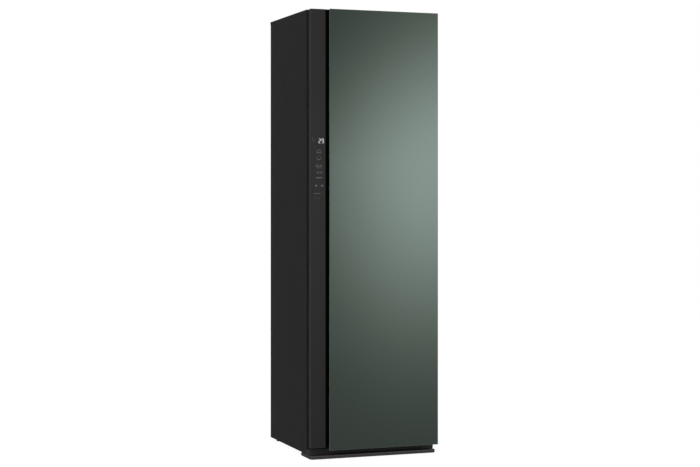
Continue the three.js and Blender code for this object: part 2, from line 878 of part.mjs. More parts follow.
// Steam boiler on four legs
const boilerTop = baseInside + seat + boilerLegHeight + boilerHeight
function steamGenerator() {
  const vessel = raised(rectangle(around(boilerX, boilerWidth), around(boilerY, boilerDepth), boilerCorner),
    [boilerTop - boilerHeight, boilerTop], edgeRadius)
  const legs = [-1, 1].flatMap((right) => [-1, 1].map((back) => block(
    around(boilerX + right * (boilerWidth / 2 - boilerLegInset), boilerLegSize),
    around(boilerY + back * (boilerDepth / 2 - boilerLegInset), boilerLegSize),
    [baseInside + seat, boilerTop - boilerHeight + edgeRadius])))
  return join(vessel, ...legs)
}
add(machine, 'steam_generator', steel, steamGenerator())

// Steam pipe from the boiler into the duct below the outlet grille
const steamPipeBend = (boilerTop + ductFloor) / 2
add(machine, 'steam_pipe', copper, pipe([
  [boilerX, boilerY, boilerTop + seat],
  [boilerX, boilerY, steamPipeBend],
  [steamOutletX, steamOutletY, steamPipeBend],
  [steamOutletX, steamOutletY, ductFloor + ductWall + pipeRadius]
]))

// Refrigerant pipe from the compressor to the underside of the duct below the heat exchanger
const compressorTop = mountTop + seat + compressorHeight
const refrigerantPipeBend = (compressorTop + ductFloor) / 2
const refrigerantX = -exchangerWidth / 2 + refrigerantInset
const refrigerantY = exchangerCentreY + exchangerDepth / 2 - refrigerantBehind
add(machine, 'refrigerant_pipe', copper, pipe([
  [compressorX, compressorY, compressorTop + seat],
  [compressorX, compressorY, refrigerantPipeBend],
  [refrigerantX, refrigerantY, refrigerantPipeBend],
  [refrigerantX, refrigerantY, ductFloor - seat]
]))

// Drain pump on the bottom tray
add(machine, 'drain_pump', blackPlastic, turned([
  [0, baseInside + seat], [pumpRadius, baseInside + seat],
  [pumpRadius, baseInside + pumpHeight - edgeRadius],
  [pumpRadius - edgeRadius, baseInside + pumpHeight], [0, baseInside + pumpHeight]
], 0, casingRear - pumpFromRear, smallSteps))

// Hanger guide: a channel under the ceiling, slotted along its bottom
const guideTop = cavityTop - seat
const guideBottom = guideTop - guideHeight
const guideLength = cavityWidth - 2 * guideEndGap
function hangerGuide() {
  const out = guideWidth / 2
  const inside = out - guideWall
  const gap = guideSlot / 2
  const shape = outline([
    [-out, guideBottom], [-gap, guideBottom], [-gap, guideBottom + guideWall],
    [-inside, guideBottom + guideWall], [-inside, guideTop - guideWall],
    [inside, guideTop - guideWall], [inside, guideBottom + guideWall],
    [gap, guideBottom + guideWall], [gap, guideBottom], [out, guideBottom],
    [out, guideTop], [-out, guideTop]
  ])
  const hole = drum(shaftHoleRadius, [guideTop - guideWall - overrun, guideTop + overrun], 0, 0)
  return cut(along(shape, around(0, guideLength)), hole)
}
add(cabinet, 'hanger_guide', aluminium, hangerGuide())

// Carriage in the guide, with the yoke slot for the crank pin and two necks through the bottom slot
const carriageBottom = guideBottom + guideWall + seat
const carriageTop = carriageBottom + carriageThickness
const carriageLength = guideLength - 2 * (crankThrow + carriageEndGap)
const neckCentre = carriageLength / 2 - neckInset
const neckBottom = guideBottom - neckDrop
function hangerCarriage() {
  const plate = block(around(0, carriageLength), around(0, guideWidth - 2 * (guideWall + carriageSideGap)),
    [carriageBottom, carriageTop])
  const necks = [-1, 1].map((side) => block(around(side * neckCentre, neckWidth), around(0, neckDepth),
    [neckBottom, carriageBottom + carriageThickness / 2]))
  const yoke = block(around(0, 2 * (crankPinRadius + runningGap)),
    around(0, 2 * (crankThrow + crankPinRadius + yokeEndRoom)),
    [carriageBottom - overrun, carriageTop + overrun])
  return cut(join(plate, ...necks), yoke)
}
add(cabinet, 'hanger_carriage', zinc, hangerCarriage())

// Hanger bar: a rod with rings that keep the hangers apart, hung from the necks by two arms
function hangerBar() {
  const z = neckBottom - barDrop
  const end = neckCentre + barOverhang
  const bar = rod(barRadius, [-end, end], 0, z)
  const pitch = 2 * (neckCentre - neckWidth) / (ringCount + 1)
  const rings = Array.from({ length: ringCount }, (_, index) => rod(ringRadius,
    around((index - (ringCount - 1) / 2) * pitch, ringWidth), 0, z))
  const arms = [-1, 1].map((side) => block(around(side * neckCentre, neckWidth), around(0, neckDepth),
    [z, neckBottom - seat]))
  return join(bar, ...rings, ...arms)
}
add(cabinet, 'hanger_bar', steel, hangerBar())

// Crank disc on the motor shaft; its pin ends just above the yoke
const crankBottom = carriageTop + crankPinGap + crankPinLength
function crankDisc() {
  const top = crankBottom + crankThickness
  const disc = drum(crankRadius, [crankBottom, top], 0, 0, largeSteps)
  const pin = drum(crankPinRadius, [crankBottom - crankPinLength, crankBottom + crankThickness / 2],
    0, crankThrow)
  const bore = drum(crankShaftRadius + runningGap, [crankBottom - overrun, top + overrun], 0, 0)
  return cut(join(disc, pin), bore)
}
add(cabinet, 'crank_disc', zinc, crankDisc())

// Motor that turns the crank, on the outside of the cavity ceiling
function crankMotor() {
  const bottom = linerTop + seat
  const gearbox = raised(rectangle(around(0, crankMotorSize), around(0, crankMotorSize), edgeRadius),
    [bottom, bottom + crankMotorHeight / 2])
  const can = drum(crankMotorSize / 2 - edgeRadius, [bottom + edgeRadius, bottom + crankMotorHeight], 0, 0,
    largeSteps)
  const shaft = drum(crankShaftRadius, [crankBottom, bottom + edgeRadius], 0, 0)
  return join(gearbox, can, shaft)
}
add(cabinet, 'crank_motor', steel, crankMotor())

// Lamp lens under the ceiling near the front
const lampFront = casingFront + lampSetback
add(cabinet, 'lamp_lens', lampWhite, raised(
  rectangle(around(0, lampWidth), [lampFront, lampFront + lampDepth], lampCorner),
  [cavityTop - seat - lampThickness, cavityTop - seat]))

// Control board on posts above the foam
function controlBoard() {
  const bottom = jacketTop + seat
  const boardX = -halfWidth + boardFromSide
  const boardY = casingRear - boardFromRear
  const card = block(around(boardX, boardWidth), around(boardY, boardDepth),
    [bottom + boardPost, bottom + boardPost + boardThickness])
  const posts = [-1, 1].flatMap((right) => [-1, 1].map((back) => block(
    around(boardX + right * (boardWidth / 2 - boardPostInset), boardPost),
    around(boardY + back * (boardDepth / 2 - boardPostInset), boardPost),
    [bottom, bottom + boardPost + boardThickness / 2])))
  const chips = [-1, 0, 1].map((step) => block(around(boardX + step * (chipSize + boardPost), chipSize),
    around(boardY, chipSize), [bottom + boardPost, bottom + boardPost + boardThickness + chipHeight]))
  return join(card, ...posts, ...chips)
}
add(cabinet, 'control_board', boardGreen, controlBoard())

// Power inlet: a three-pin socket set into the rear cover
function powerInlet() {
  const inner = panelRear - skin - seat
  const body = block(around(inletX, inletWidth), [panelRear - inletDepth, panelRear],
    around(inletZ, inletHeight))
  const flange = block(around(inletX, inletWidth + 2 * inletFlange), [inner - inletFlangeThickness, inner],
    around(inletZ, inletHeight + 2 * inletFlange))
  const socket = block(around(inletX, socketWidth), [panelRear - socketDepth, panelRear + overrun],
    around(inletZ, socketHeight))
  const prongs = [-1, 0, 1].map((step) => block(around(inletX + step * prongPitch, prongWidth),
    [panelRear - socketDepth - prongWidth, panelRear - socketDepth + prongLength],
    around(inletZ, prongHeight)))
  return join(cut(join(body, flange), socket), ...prongs)
}
add(cabinet, 'power_inlet', blackPlastic, powerInlet())

// Hinge brackets on the casing front, each a plate with a tongue under or over the door
const topTongue = cabinetHeight - topTongueDrop
function bracket(tongueBottom, plateRange) {
  const plate = block([halfWidth - bracketWidth, halfWidth - edgeRadius], [bracketFront, bracketBack],
    plateRange)
  const tongue = join(
    block(around(hingeX, 2 * tongueHalfWidth), [hingeY, bracketBack - bracketPlate / 2],
      [tongueBottom, tongueBottom + tongueThickness]),
    drum(tongueHalfWidth, [tongueBottom, tongueBottom + tongueThickness], hingeX, hingeY))
  const bore = drum(pinRadius + runningGap,
    [tongueBottom - overrun, tongueBottom + tongueThickness + overrun], hingeX, hingeY)
  return cut(join(plate, tongue), bore)
}
add(cabinet, 'top_hinge_bracket', blackSheet,
  bracket(topTongue, [topTongue - bracketDrop, topTongue + tongueThickness]))
add(cabinet, 'bottom_hinge_bracket', blackSheet,
  bracket(bottomTongueHeight, [bottomTongueHeight - bracketDrop + tongueThickness,
    bottomTongueHeight + tongueThickness]))

// Hinge pins with a head on the far side of each tongue
const topBushTop = topTongue - notchRoom
const pinEnd = bushLength - edgeRadius
add(cabinet, 'top_hinge_pin', steel, turned([
  [0, topBushTop - pinEnd], [pinRadius, topBushTop - pinEnd],
  [pinRadius, topTongue + tongueThickness + seat], [pinHeadRadius, topTongue + tongueThickness + seat],
  [pinHeadRadius, topTongue + tongueThickness + seat + pinHeadHeight],
  [0, topTongue + tongueThickness + seat + pinHeadHeight]
], hingeX, hingeY, smallSteps))
add(cabinet, 'bottom_hinge_pin', steel, turned([
  [0, bottomTongueHeight - seat - pinHeadHeight], [pinHeadRadius, bottomTongueHeight - seat - pinHeadHeight],
  [pinHeadRadius, bottomTongueHeight - seat], [pinRadius, bottomTongueHeight - seat],
  [pinRadius, doorBottom + pinEnd], [0, doorBottom + pinEnd]
], hingeX, hingeY, smallSteps))

// Door frame: a ring with a wide stile on the hinge side, stepped in at the back of its edges
const frameFront = stripFront + stripThickness + seat
const frameStep = frameFront + frontBand
const frameBack = doorBack - innerPanelThickness - seat
const foamLeft = -halfWidth + leftStile
const foamRight = halfWidth - hingeStile
const notchX = [hingeX - notchDepth, halfWidth + overrun]
const notchY = [hingeY - notchDepth, doorBack + overrun]
const notchZ = [topBushTop, topTongue + tongueThickness + notchHeadroom]
const bushBore = pinRadius + runningGap + bushWall
const stripRight = -halfWidth + stripWidth
const gripLeft = stripRight + gripTuck
const gripRight = stripRight + gripMouth + gripUndercut
const gripBack = stripFront + gripDepth
const gripRoomX = [gripLeft - gripWall - seat, gripRight + gripWall + seat]
const gripRoomY = [frameFront - overrun, gripBack + seat]
function doorFrame() {
  const front = upright(rectangle([-halfWidth, halfWidth], [doorBottom, doorTop], edgeRadius),
    [frameFront, frameStep])
  const back = block([-halfWidth + sideRecess, halfWidth - sideRecess], [frameStep - edgeRadius, frameBack],
    [doorBottom, doorTop])
  const core = block([foamLeft, foamRight], [frameFront - overrun, frameBack + overrun],
    [doorBottom + doorRail, doorTop - doorRail])
  const bores = [
    [topBushTop - bushLength, topBushTop + overrun],
    [doorBottom - overrun, doorBottom + bushLength]
  ].map((range) => drum(bushBore + seat, range, hingeX, hingeY))
  const channel = block(gripRoomX, gripRoomY, [doorBottom - overrun, doorTop + overrun])
  return cut(join(front, back), core, channel, block(notchX, notchY, notchZ), ...bores)
}
add(door, 'door_frame', blackSheet, doorFrame())

// Bushes in the hinge stile; the bottom one has a thrust flange
function topBush() {
  return cut(drum(bushBore, [topBushTop - bushLength + seat, topBushTop], hingeX, hingeY),
    drum(pinRadius + runningGap, [topBushTop - bushLength - overrun, topBushTop + overrun], hingeX, hingeY))
}
function bottomBush() {
  const flange = drum(bushFlangeRadius, [bottomTongueHeight + tongueThickness + seat, doorBottom - seat],
    hingeX, hingeY)
  const sleeve = drum(bushBore, [doorBottom - seat - edgeRadius, doorBottom + bushLength - seat],
    hingeX, hingeY)
  return cut(join(flange, sleeve),
    drum(pinRadius + runningGap, [bottomTongueHeight, doorBottom + bushLength + overrun], hingeX, hingeY))
}
add(door, 'top_hinge_bush', rubber, topBush())
add(door, 'bottom_hinge_bush', rubber, bottomBush())

// Control strip: a flat black facing down the opening edge of the door
add(door, 'control_strip', stripBlack, raised(outline([
  [-halfWidth, stripFront, stripEdge], [stripRight, stripFront, stripEdge],
  [stripRight, stripFront + stripThickness], [-halfWidth, stripFront + stripThickness]
]), [doorBottom, doorTop]))

// Finger grip: a deep channel between the strip and the glass, open to the front and capped at its ends
function gripChannel() {
  const left = gripLeft - gripWall
  const right = gripRight + gripWall
  const trough = raised(outline([
    [left, frameFront], [gripLeft, frameFront], [gripLeft, gripBack - gripWall],
    [gripRight, gripBack - gripWall], [gripRight, stripFront], [right, stripFront],
    [right, gripBack], [left, gripBack]
  ]), [doorBottom, doorTop])
  const caps = [[doorBottom, doorBottom + gripWall], [doorTop - gripWall, doorTop]]
    .map((range) => block([left, right], [frameFront, gripBack], range))
  return join(trough, ...caps)
}
add(door, 'grip_channel', blackPlastic, gripChannel())

// Insulating core of the door, cut away for the channel and the display board
const displayX = [-halfWidth + displayMargin, stripRight - displayMargin]
function doorFoam() {
  const body = block([foamLeft + seat, foamRight - seat], [frameFront, frameBack],
    [doorBottom + doorRail + seat, doorTop - doorRail - seat])
  const channel = block(gripRoomX, gripRoomY, [doorBottom, doorTop])
  const pocket = block([displayX[0] - seat, displayX[1] + seat],
    [frameFront - overrun, frameFront + displayThickness + seat],
    [displayBottom - seat, displayBottom + displayHeight + seat])
  return cut(body, channel, pocket)
}
add(door, 'door_foam', foamWhite, doorFoam())

// Display and touch board behind the strip
add(door, 'display_board', boardGreen, block(displayX, [frameFront, frameFront + displayThickness],
  [displayBottom, displayBottom + displayHeight]))

// Inner panel of the door, and the raised cover on it that stands into the cavity
add(door, 'door_inner_panel', linerGrey, cut(
  block([-halfWidth + sideRecess, halfWidth - sideRecess], [doorBack - innerPanelThickness, doorBack],
    [doorBottom, doorTop]),
  block(notchX, notchY, notchZ)))
add(door, 'door_inner_cover', linerGrey, upright(
  rectangle(around(0, cavityWidth - 2 * plateauSideInset), [plateauBottom, plateauTop], plateauCorner),
  [doorBack + seat, doorBack + plateauRise], edgeRadius))

// Door gasket against the liner flange
function doorGasket() {
  const x = cavityWidth / 2 + gasketOverlap
  const bottom = cavityFloor - gasketOverlap
  const top = cavityTop + gasketOverlap
  const ring = upright(rectangle([-x - gasketWidth, x + gasketWidth],
    [bottom - gasketWidth, top + gasketWidth], gasketWidth), [doorBack + seat, casingFront - seat])
  return cut(ring, block([-x, x], [doorBack, casingFront], [bottom, top]))
}
add(door, 'door_gasket', rubber, doorGasket())

// Carrier between the frame and the glass, and the tinted mirror glass itself
const glassLeft = stripRight + gripMouth
add(door, 'glass_carrier', blackPlastic, block(
  [gripRight + gripWall + seat, halfWidth - carrierInset],
  [glassFront + glassThickness + seat, frameFront - seat],
  [doorBottom + carrierEndInset, doorTop - carrierEndInset]))
add(door, 'mirror_glass', greenMirror, upright(
  rectangle([glassLeft, halfWidth], [doorBottom - glassBelowDoor, cabinetHeight - glassTopDrop]),
  [glassFront, glassFront + glassThickness], glassBevel))

// Trouser press: a fixed board with two pins, and the plate that swings on them
const pressFace = doorBack + plateauRise + seat
const plateBehind = pressFace + pressBoardThickness + pressGap
const pressAxisX = pressWidth / 2 + pressAxisOut
const pressAxisY = plateBehind + pressPlateThickness / 2
const armRanges = [
  [pressBottom + pressArmInset, pressBottom + pressArmInset + pressArmHeight],
  [pressTop - pressArmInset - pressArmHeight, pressTop - pressArmInset]
]
function pressBoard() {
  const board = upright(rectangle(around(0, pressWidth), [pressBottom, pressTop], pressCorner),
    [pressFace, pressFace + pressBoardThickness])
  const arms = armRanges.map((range) => join(
    block([pressAxisX - pressLugRadius, pressAxisX + pressLugRadius], [pressFace, pressAxisY], range),
    block([pressWidth / 2 - pressCorner, pressAxisX], [pressFace, pressFace + pressBoardThickness], range),
    drum(pressLugRadius, range, pressAxisX, pressAxisY)))
  const pins = [
    [armRanges[0][0], armRanges[0][1] + pressLugHeight],
    [armRanges[1][0] - pressLugHeight, armRanges[1][1]]
  ].map((range) => drum(pressPinRadius, range, pressAxisX, pressAxisY))
  return join(board, ...arms, ...pins)
}
add(door, 'press_board', padCloth, pressBoard())

// The plate's lugs turn on the pins, between the arms
function pressPlate() {
  const plate = upright(rectangle(around(0, pressWidth), [pressBottom, pressTop], pressCorner),
    [plateBehind, plateBehind + pressPlateThickness])
  const lugRanges = [
    [armRanges[0][1] + seat, armRanges[0][1] + pressLugHeight],
    [armRanges[1][0] - pressLugHeight, armRanges[1][0] - seat]
  ]
  const lugs = lugRanges.map((range) => join(
    block([pressWidth / 2 - pressPinRadius, pressAxisX], around(pressAxisY, 2 * pressLugRadius), range),
    drum(pressLugRadius, range, pressAxisX, pressAxisY)))
  const bores = lugRanges.map(([z0, z1]) => drum(pressPinRadius + runningGap,
    [z0 - overrun, z1 + overrun], pressAxisX, pressAxisY))
  return cut(join(plate, ...lugs), ...bores)
}
add(door, 'press_plate', padCloth, pressPlate())

// Hook for the trouser hanger above the press
const hookBottom = pressTop + hookAbovePress
const hookFront = pressFace + hookReach
add(door, 'trouser_hook', steel, along(outline([
  [pressFace, hookBottom], [hookFront, hookBottom], [hookFront, hookBottom + hookLip],
  [hookFront - hookThickness, hookBottom + hookLip], [hookFront - hookThickness, hookBottom + hookThickness],
  [pressFace + hookThickness, hookBottom + hookThickness],
  [pressFace + hookThickness, hookBottom + hookHeight], [pressFace, hookBottom + hookHeight]
]), around(0, hookWidth)))

// Rail below the press and the clip that slides on it to stretch the trouser legs
const railBottom = plateauBottom + railRise
function clipRail() {
  const range = [railBottom, pressBottom - railTopGap]
  const web = block(around(0, railWidth), [pressFace, pressFace + railDepth], range)
  const lip = block(around(0, railLipWidth), [pressFace + railDepth - railLip, pressFace + railDepth], range)
  const stop = block(around(0, railLipWidth), [pressFace, pressFace + railDepth],
    [railBottom, railBottom + railLip])
  return join(web, lip, stop)
}
add(door, 'clip_rail', aluminium, clipRail())

function stretchClip() {
  const bottom = railBottom + railLip + seat
  const body = block(around(0, clipWidth), [pressFace + seat, pressFace + clipDepth],
    [bottom, bottom + clipHeight])
  const range = [bottom - overrun, bottom + clipHeight + overrun]
  const web = block(around(0, railWidth + 2 * runningGap), [pressFace - overrun, pressFace + railDepth],
    range)
  const lip = block(around(0, railLipWidth + 2 * runningGap),
    [pressFace + railDepth - railLip - runningGap, pressFace + railDepth + runningGap], range)
  return cut(body, web, lip)
}
add(door, 'stretch_clip', blackPlastic, stretchClip())

export default cabinet
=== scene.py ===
import json
import math

import bmesh
import bpy
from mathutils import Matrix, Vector

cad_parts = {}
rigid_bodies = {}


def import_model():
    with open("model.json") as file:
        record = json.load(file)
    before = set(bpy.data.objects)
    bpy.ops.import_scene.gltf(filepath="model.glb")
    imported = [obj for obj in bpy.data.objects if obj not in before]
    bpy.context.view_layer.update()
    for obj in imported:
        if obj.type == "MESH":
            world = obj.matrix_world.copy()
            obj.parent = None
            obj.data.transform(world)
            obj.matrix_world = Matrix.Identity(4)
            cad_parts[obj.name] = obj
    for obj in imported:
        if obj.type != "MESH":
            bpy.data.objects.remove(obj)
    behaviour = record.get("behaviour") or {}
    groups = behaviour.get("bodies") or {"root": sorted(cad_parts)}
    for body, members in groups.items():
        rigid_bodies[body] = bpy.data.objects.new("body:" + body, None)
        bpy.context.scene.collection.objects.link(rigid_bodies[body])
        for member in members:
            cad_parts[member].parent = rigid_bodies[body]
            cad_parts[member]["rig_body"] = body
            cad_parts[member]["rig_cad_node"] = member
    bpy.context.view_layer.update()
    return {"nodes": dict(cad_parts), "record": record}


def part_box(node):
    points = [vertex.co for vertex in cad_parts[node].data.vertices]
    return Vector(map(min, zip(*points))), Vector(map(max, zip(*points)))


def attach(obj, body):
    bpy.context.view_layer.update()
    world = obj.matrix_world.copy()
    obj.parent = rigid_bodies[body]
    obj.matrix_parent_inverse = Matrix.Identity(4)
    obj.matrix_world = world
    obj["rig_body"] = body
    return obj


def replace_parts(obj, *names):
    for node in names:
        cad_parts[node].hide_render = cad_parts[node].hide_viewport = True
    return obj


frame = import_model()
scene = bpy.context.scene
MM = 0.001

# Camera, worked out from the photograph's vertical edges and converging sides
CAMERA_PLACE = (-2.4822, -6.7220, 1.1354)
CAMERA_YAW = math.radians(20.193)
LENS_LENGTH_MM = 80.651
PICTURE_WIDTH = 700
HORIZON_ABOVE_MIDDLE = 35.15
SENSOR_WIDTH_MM = 36.0

# Studio
FLOOR_HALF = 40.0
FLOOR_GREY = 0.8
FLOOR_SHARE = 0.90
FLOOR_GLOW = 1.05
CARD_Y = -2.2
CARD_LEVEL = 0.180
CARD_PEAK = 1.150
CARD_LOBE_X = 1.071
CARD_LOBE_Z = 1.327
CARD_LOBE_WIDTH = 0.449
CARD_LOBE_UP = 0.553
CARD_LOBE_DOWN = 0.613
CARD_LEAN = 0.348
DIM_LEVEL = 0.40
DIM_TINT = (1.0, 1.0, 0.980)
BRIGHT_LEVEL = 1.0
BRIGHT_TINT = (0.985, 0.980, 1.010)
FAR_LOBE_X = -2.1
FAR_LOBE_WIDTH = 0.62
FAR_LOBE_SHARE = 0.6
FLAG_X = 1.6
FLAG_LEVEL = 0.07
FLAG_TINT = (1, 0.97, 0.98, 1)
SKY_LEVEL = 0.72
WHITE = (1, 1, 1, 1)

# Small sizes of the finished pieces
MERGE = 0.00001
SMOOTH_ANGLE = math.radians(50)
EDGE_ANGLE = math.radians(32)
FLAT_ANGLE = math.radians(0.4)


class Value:
    """A socket in a node tree, with operators that add Math nodes."""

    def __init__(self, tree, socket):
        self.tree = tree
        self.socket = socket

    def maths(self, operation, *values):
        return self.tree.node("ShaderNodeMath", {"operation": operation}, dict(enumerate(values)))

    def __add__(self, other):
        return self.maths("ADD", self, other)

    def __radd__(self, other):
        return self.maths("ADD", other, self)

    def __sub__(self, other):
        return self.maths("SUBTRACT", self, other)

    def __rsub__(self, other):
        return self.maths("SUBTRACT", other, self)

    def __mul__(self, other):
        return self.maths("MULTIPLY", self, other)

    def __rmul__(self, other):
        return self.maths("MULTIPLY", other, self)

    def __truediv__(self, other):
        return self.maths("DIVIDE", self, other)

    def __gt__(self, other):
        return self.maths("GREATER_THAN", self, other)

    def sine(self):
        return self.maths("SINE", self)

    def exponent(self):
        return self.maths("EXPONENT", self)


class Tree:
    """A node tree of a material or the world."""

    def __init__(self, owner):
        owner.use_nodes = True
        self.nodes = owner.node_tree.nodes
        self.links = owner.node_tree.links
        self.nodes.clear()

    def node(self, kind, settings=None, inputs=None, output=0):
        """Adds a node: its settings first, then the values or links of its sockets."""
        made = self.nodes.new(kind)
        for name, setting in (settings or {}).items():
            setattr(made, name, setting)
        for name, value in (inputs or {}).items():
            if isinstance(value, Value):
                self.links.new(value.socket, made.inputs[name])
            else:
                made.inputs[name].default_value = value
        return Value(self, made.outputs[output]) if made.outputs else made

    def place(self):
        """Where a point is on the piece, in metres."""
        return self.node("ShaderNodeTexCoord", output="Object")

    def stretched(self, place, scale):
        return self.node("ShaderNodeMapping", {}, {"Vector": place, "Scale": scale})

    def axes(self, place):
        return [self.node("ShaderNodeSeparateXYZ", {}, {0: place}, axis) for axis in range(3)]

    def noise(self, place, scale, detail=2.0, roughness=0.5):
        return self.node("ShaderNodeTexNoise", {},
                         {"Vector": place, "Scale": scale, "Detail": detail, "Roughness": roughness})

    def cells(self, place, scale, output="Distance"):
        return self.node("ShaderNodeTexVoronoi", {}, {"Vector": place, "Scale": scale}, output)

    def colours(self, factor, first, second):
        """A colour between two, by a factor from 0 to 1."""
        return self.node("ShaderNodeMix", {"data_type": "RGBA"},
                         {0: factor, 6: (*first, 1), 7: (*second, 1)}, 2)

    def bump(self, height, distance, strength=1.0):
        return self.node("ShaderNodeBump", {},
                         {"Height": height, "Distance": distance, "Strength": strength})

    def rays(self, *names):
        """1 for the named kinds of ray, otherwise 0."""
        total = 0.0
        for name in names:
            total = self.node("ShaderNodeLightPath", output=name) + total
        return total

    def mixed(self, factor, first, second):
        return self.node("ShaderNodeMixShader", {}, {0: factor, 1: first, 2: second})


def finish(name, base, roughness, normal=None, metallic=0.0, constants=None):
    """Ends a material: what varies is linked, and what is constant is set on the shader."""
    tree = finish.tree
    inputs = {"Base Color": base, "Roughness": roughness, "Metallic": metallic}
    if normal is not None:
        inputs["Normal"] = normal
    shader = tree.node("ShaderNodeBsdfPrincipled", {}, {**inputs, **(constants or {})})
    tree.node("ShaderNodeOutputMaterial", {}, {"Surface": shader})
    # The pack has plain materials called brushed_steel and press_cloth, and by those two names this
    # finds the pack's, so the trees made here for them reach no piece
    return bpy.data.materials[name]


def begin(name):
    """Starts a material and gives its tree and the place of a point."""
    material = bpy.data.materials.new(name)
    finish.tree = Tree(material)
    return finish.tree, finish.tree.place()


def painted_casing():
    tree, place = begin("painted_casing")
    peel = tree.noise(place, 1300, 1.0)
    handled = tree.noise(place, 6, 4.0)
    base = tree.colours(handled, (0.0145, 0.0132, 0.0138), (0.0184, 0.0166, 0.0172))
    return finish("painted_casing", base, 0.44 + handled * 0.08, tree.bump(peel, 0.00006, 0.6),
                  constants={"Specular IOR Level": 0.25})


def moulded_black():
    tree, place = begin("moulded_black")
    grain = tree.noise(place, 2600, 3.0, 0.6)
    patches = tree.noise(place, 18, 3.0)
    base = tree.colours(patches, (0.0085, 0.0085, 0.0088), (0.0125, 0.0125, 0.0128))
    return finish("moulded_black", base, 0.52 + patches * 0.1, tree.bump(grain, 0.00008, 0.5),
                  constants={"Specular IOR Level": 0.35})


def recess_painted_shade():
    """Moulded black of the grip channel and the door's edges, darkened further with painted shade because
    the light hardly reaches there.
    """
    tree, place = begin("recess_painted_shade")
    grain = tree.noise(place, 2600, 3.0, 0.6)
    patches = tree.noise(place, 18, 3.0)
    base = tree.colours(patches, (0.0018, 0.0018, 0.0019), (0.0028, 0.0028, 0.0029))
    return finish("recess_painted_shade", base, 0.7 + patches * 0.1, tree.bump(grain, 0.00008, 0.5),
                  constants={"Specular IOR Level": 0.08})


def door_edge():
    tree, place = begin("door_edge")
    grain = tree.noise(place, 1900, 2.0)
    patches = tree.noise(place, 9, 3.0)
    base = tree.colours(patches, (0.0085, 0.0083, 0.0085), (0.0115, 0.0112, 0.0115))
    return finish("door_edge", base, 0.62 + patches * 0.1, tree.bump(grain, 0.00006, 0.5),
                  constants={"Specular IOR Level": 0.15})


def kick_cover_black():
    tree, place = begin("kick_cover_black")
    grain = tree.noise(place, 1700, 3.0, 0.6)
    dust = tree.noise(place, 22, 5.0, 0.6)
    base = tree.colours(dust, (0.034, 0.033, 0.032), (0.048, 0.0465, 0.045))
    return finish("kick_cover_black", base, 0.55 + dust * 0.12, tree.bump(grain, 0.00008, 0.5),
                  constants={"Specular IOR Level": 0.3})


def painted_highlight_arris(name, low, high):
    """A moulded edge painted a little lighter than its faces, as a painted highlight, with a satin gloss."""
    tree, place = begin(name)
    highlight_streaks = tree.noise(tree.stretched(place, (60, 60, 12)), 1.0, 4.0, 0.6)
    base = tree.colours(highlight_streaks, [low] * 3, [high] * 3)
    return finish(name, base, 0.3 + highlight_streaks * 0.14, tree.bump(highlight_streaks, 0.00003, 0.3),
                  constants={"Specular IOR Level": 0.5})


def press_frame_grey():
    tree, place = begin("press_frame_grey")
    grain = tree.cells(place, 1300)
    patches = tree.noise(place, 9, 3.0)
    base = tree.colours(patches, (0.075, 0.079, 0.083), (0.090, 0.094, 0.098))
    return finish("press_frame_grey", base, 0.4 + patches * 0.1, tree.bump(grain, 0.00006, 0.4))


def plinth_black():
    tree, place = begin("plinth_black")
    grain = tree.noise(place, 1500, 3.0, 0.6)
    scuffs = tree.noise(place, 26, 5.0, 0.6)
    base = tree.colours(scuffs, (0.030, 0.030, 0.030), (0.042, 0.042, 0.042))
    return finish("plinth_black", base, 0.26 + scuffs * 0.12, tree.bump(grain, 0.00005, 0.4),
                  constants={"Specular IOR Level": 0.5})


def strip_satin():
    tree, place = begin("strip_satin")
    brushed = tree.noise(tree.stretched(place, (3200, 3200, 14)), 1.0, 2.0)
    patches = tree.noise(place, 5, 3.0)
    base = tree.colours(patches, (0.0135, 0.0135, 0.0138), (0.0165, 0.0165, 0.0168))
    return finish("strip_satin", base, 0.36 + brushed * 0.08, tree.bump(brushed, 0.00002, 0.3),
                  constants={"Specular IOR Level": 0.4})


def tinted_mirror():
    tree, place = begin("tinted_mirror")
    smears = tree.noise(tree.stretched(place, (9, 9, 3)), 1.0, 5.0, 0.6)
    base = tree.colours(smears, (0.178, 0.228, 0.197), (0.184, 0.234, 0.203))
    return finish("tinted_mirror", base, 0.055 + smears * 0.02, metallic=1.0,
                  constants={"Specular IOR Level": 0.5})


def ground_glass_edge():
    """The ground and polished edge of the tinted glass, lighter than its mirrored face."""
    tree, place = begin("ground_glass_edge")
    ground = tree.noise(place, 1400, 2.0)
    base = tree.colours(ground, (0.215, 0.270, 0.240), (0.255, 0.315, 0.280))
    return finish("ground_glass_edge", base, 0.22 + ground * 0.1, tree.bump(ground, 0.00002, 0.3))


def liner_plastic():
    tree, place = begin("liner_plastic")
    grain = tree.cells(place, 1500)
    patches = tree.noise(place, 9, 3.0)
    base = tree.colours(patches, (0.245, 0.258, 0.268), (0.275, 0.288, 0.298))
    return finish("liner_plastic", base, 0.42 + patches * 0.08, tree.bump(grain, 0.00005, 0.35))


def insulating_foam():
    tree, place = begin("insulating_foam")
    bubbles = tree.cells(place, 620)
    patches = tree.noise(place, 14, 4.0)
    base = tree.colours(patches, (0.62, 0.56, 0.42), (0.72, 0.67, 0.52))
    return finish("insulating_foam", base, 0.85 + patches * 0.1, tree.bump(bubbles, 0.0006, 0.8))


def zinc_plate():
    tree, place = begin("zinc_plate")
    spangle = tree.node("ShaderNodeSeparateColor", {}, {0: tree.cells(place, 130, "Color")})
    fine = tree.noise(place, 900, 2.0)
    base = tree.colours(spangle, (0.40, 0.42, 0.44), (0.56, 0.58, 0.60))
    return finish("zinc_plate", base, 0.34 + spangle * 0.16, tree.bump(fine, 0.00003, 0.3), 1.0)


def brushed_steel():
    tree, place = begin("brushed_steel")
    lines = tree.noise(tree.stretched(place, (18, 2400, 2400)), 1.0, 3.0)
    patches = tree.noise(place, 12, 3.0)
    base = tree.colours(lines, (0.50, 0.51, 0.52), (0.62, 0.63, 0.64))
    return finish("brushed_steel", base, 0.24 + lines * 0.1 + patches * 0.05,
                  tree.bump(lines, 0.00003, 0.35), 1.0)


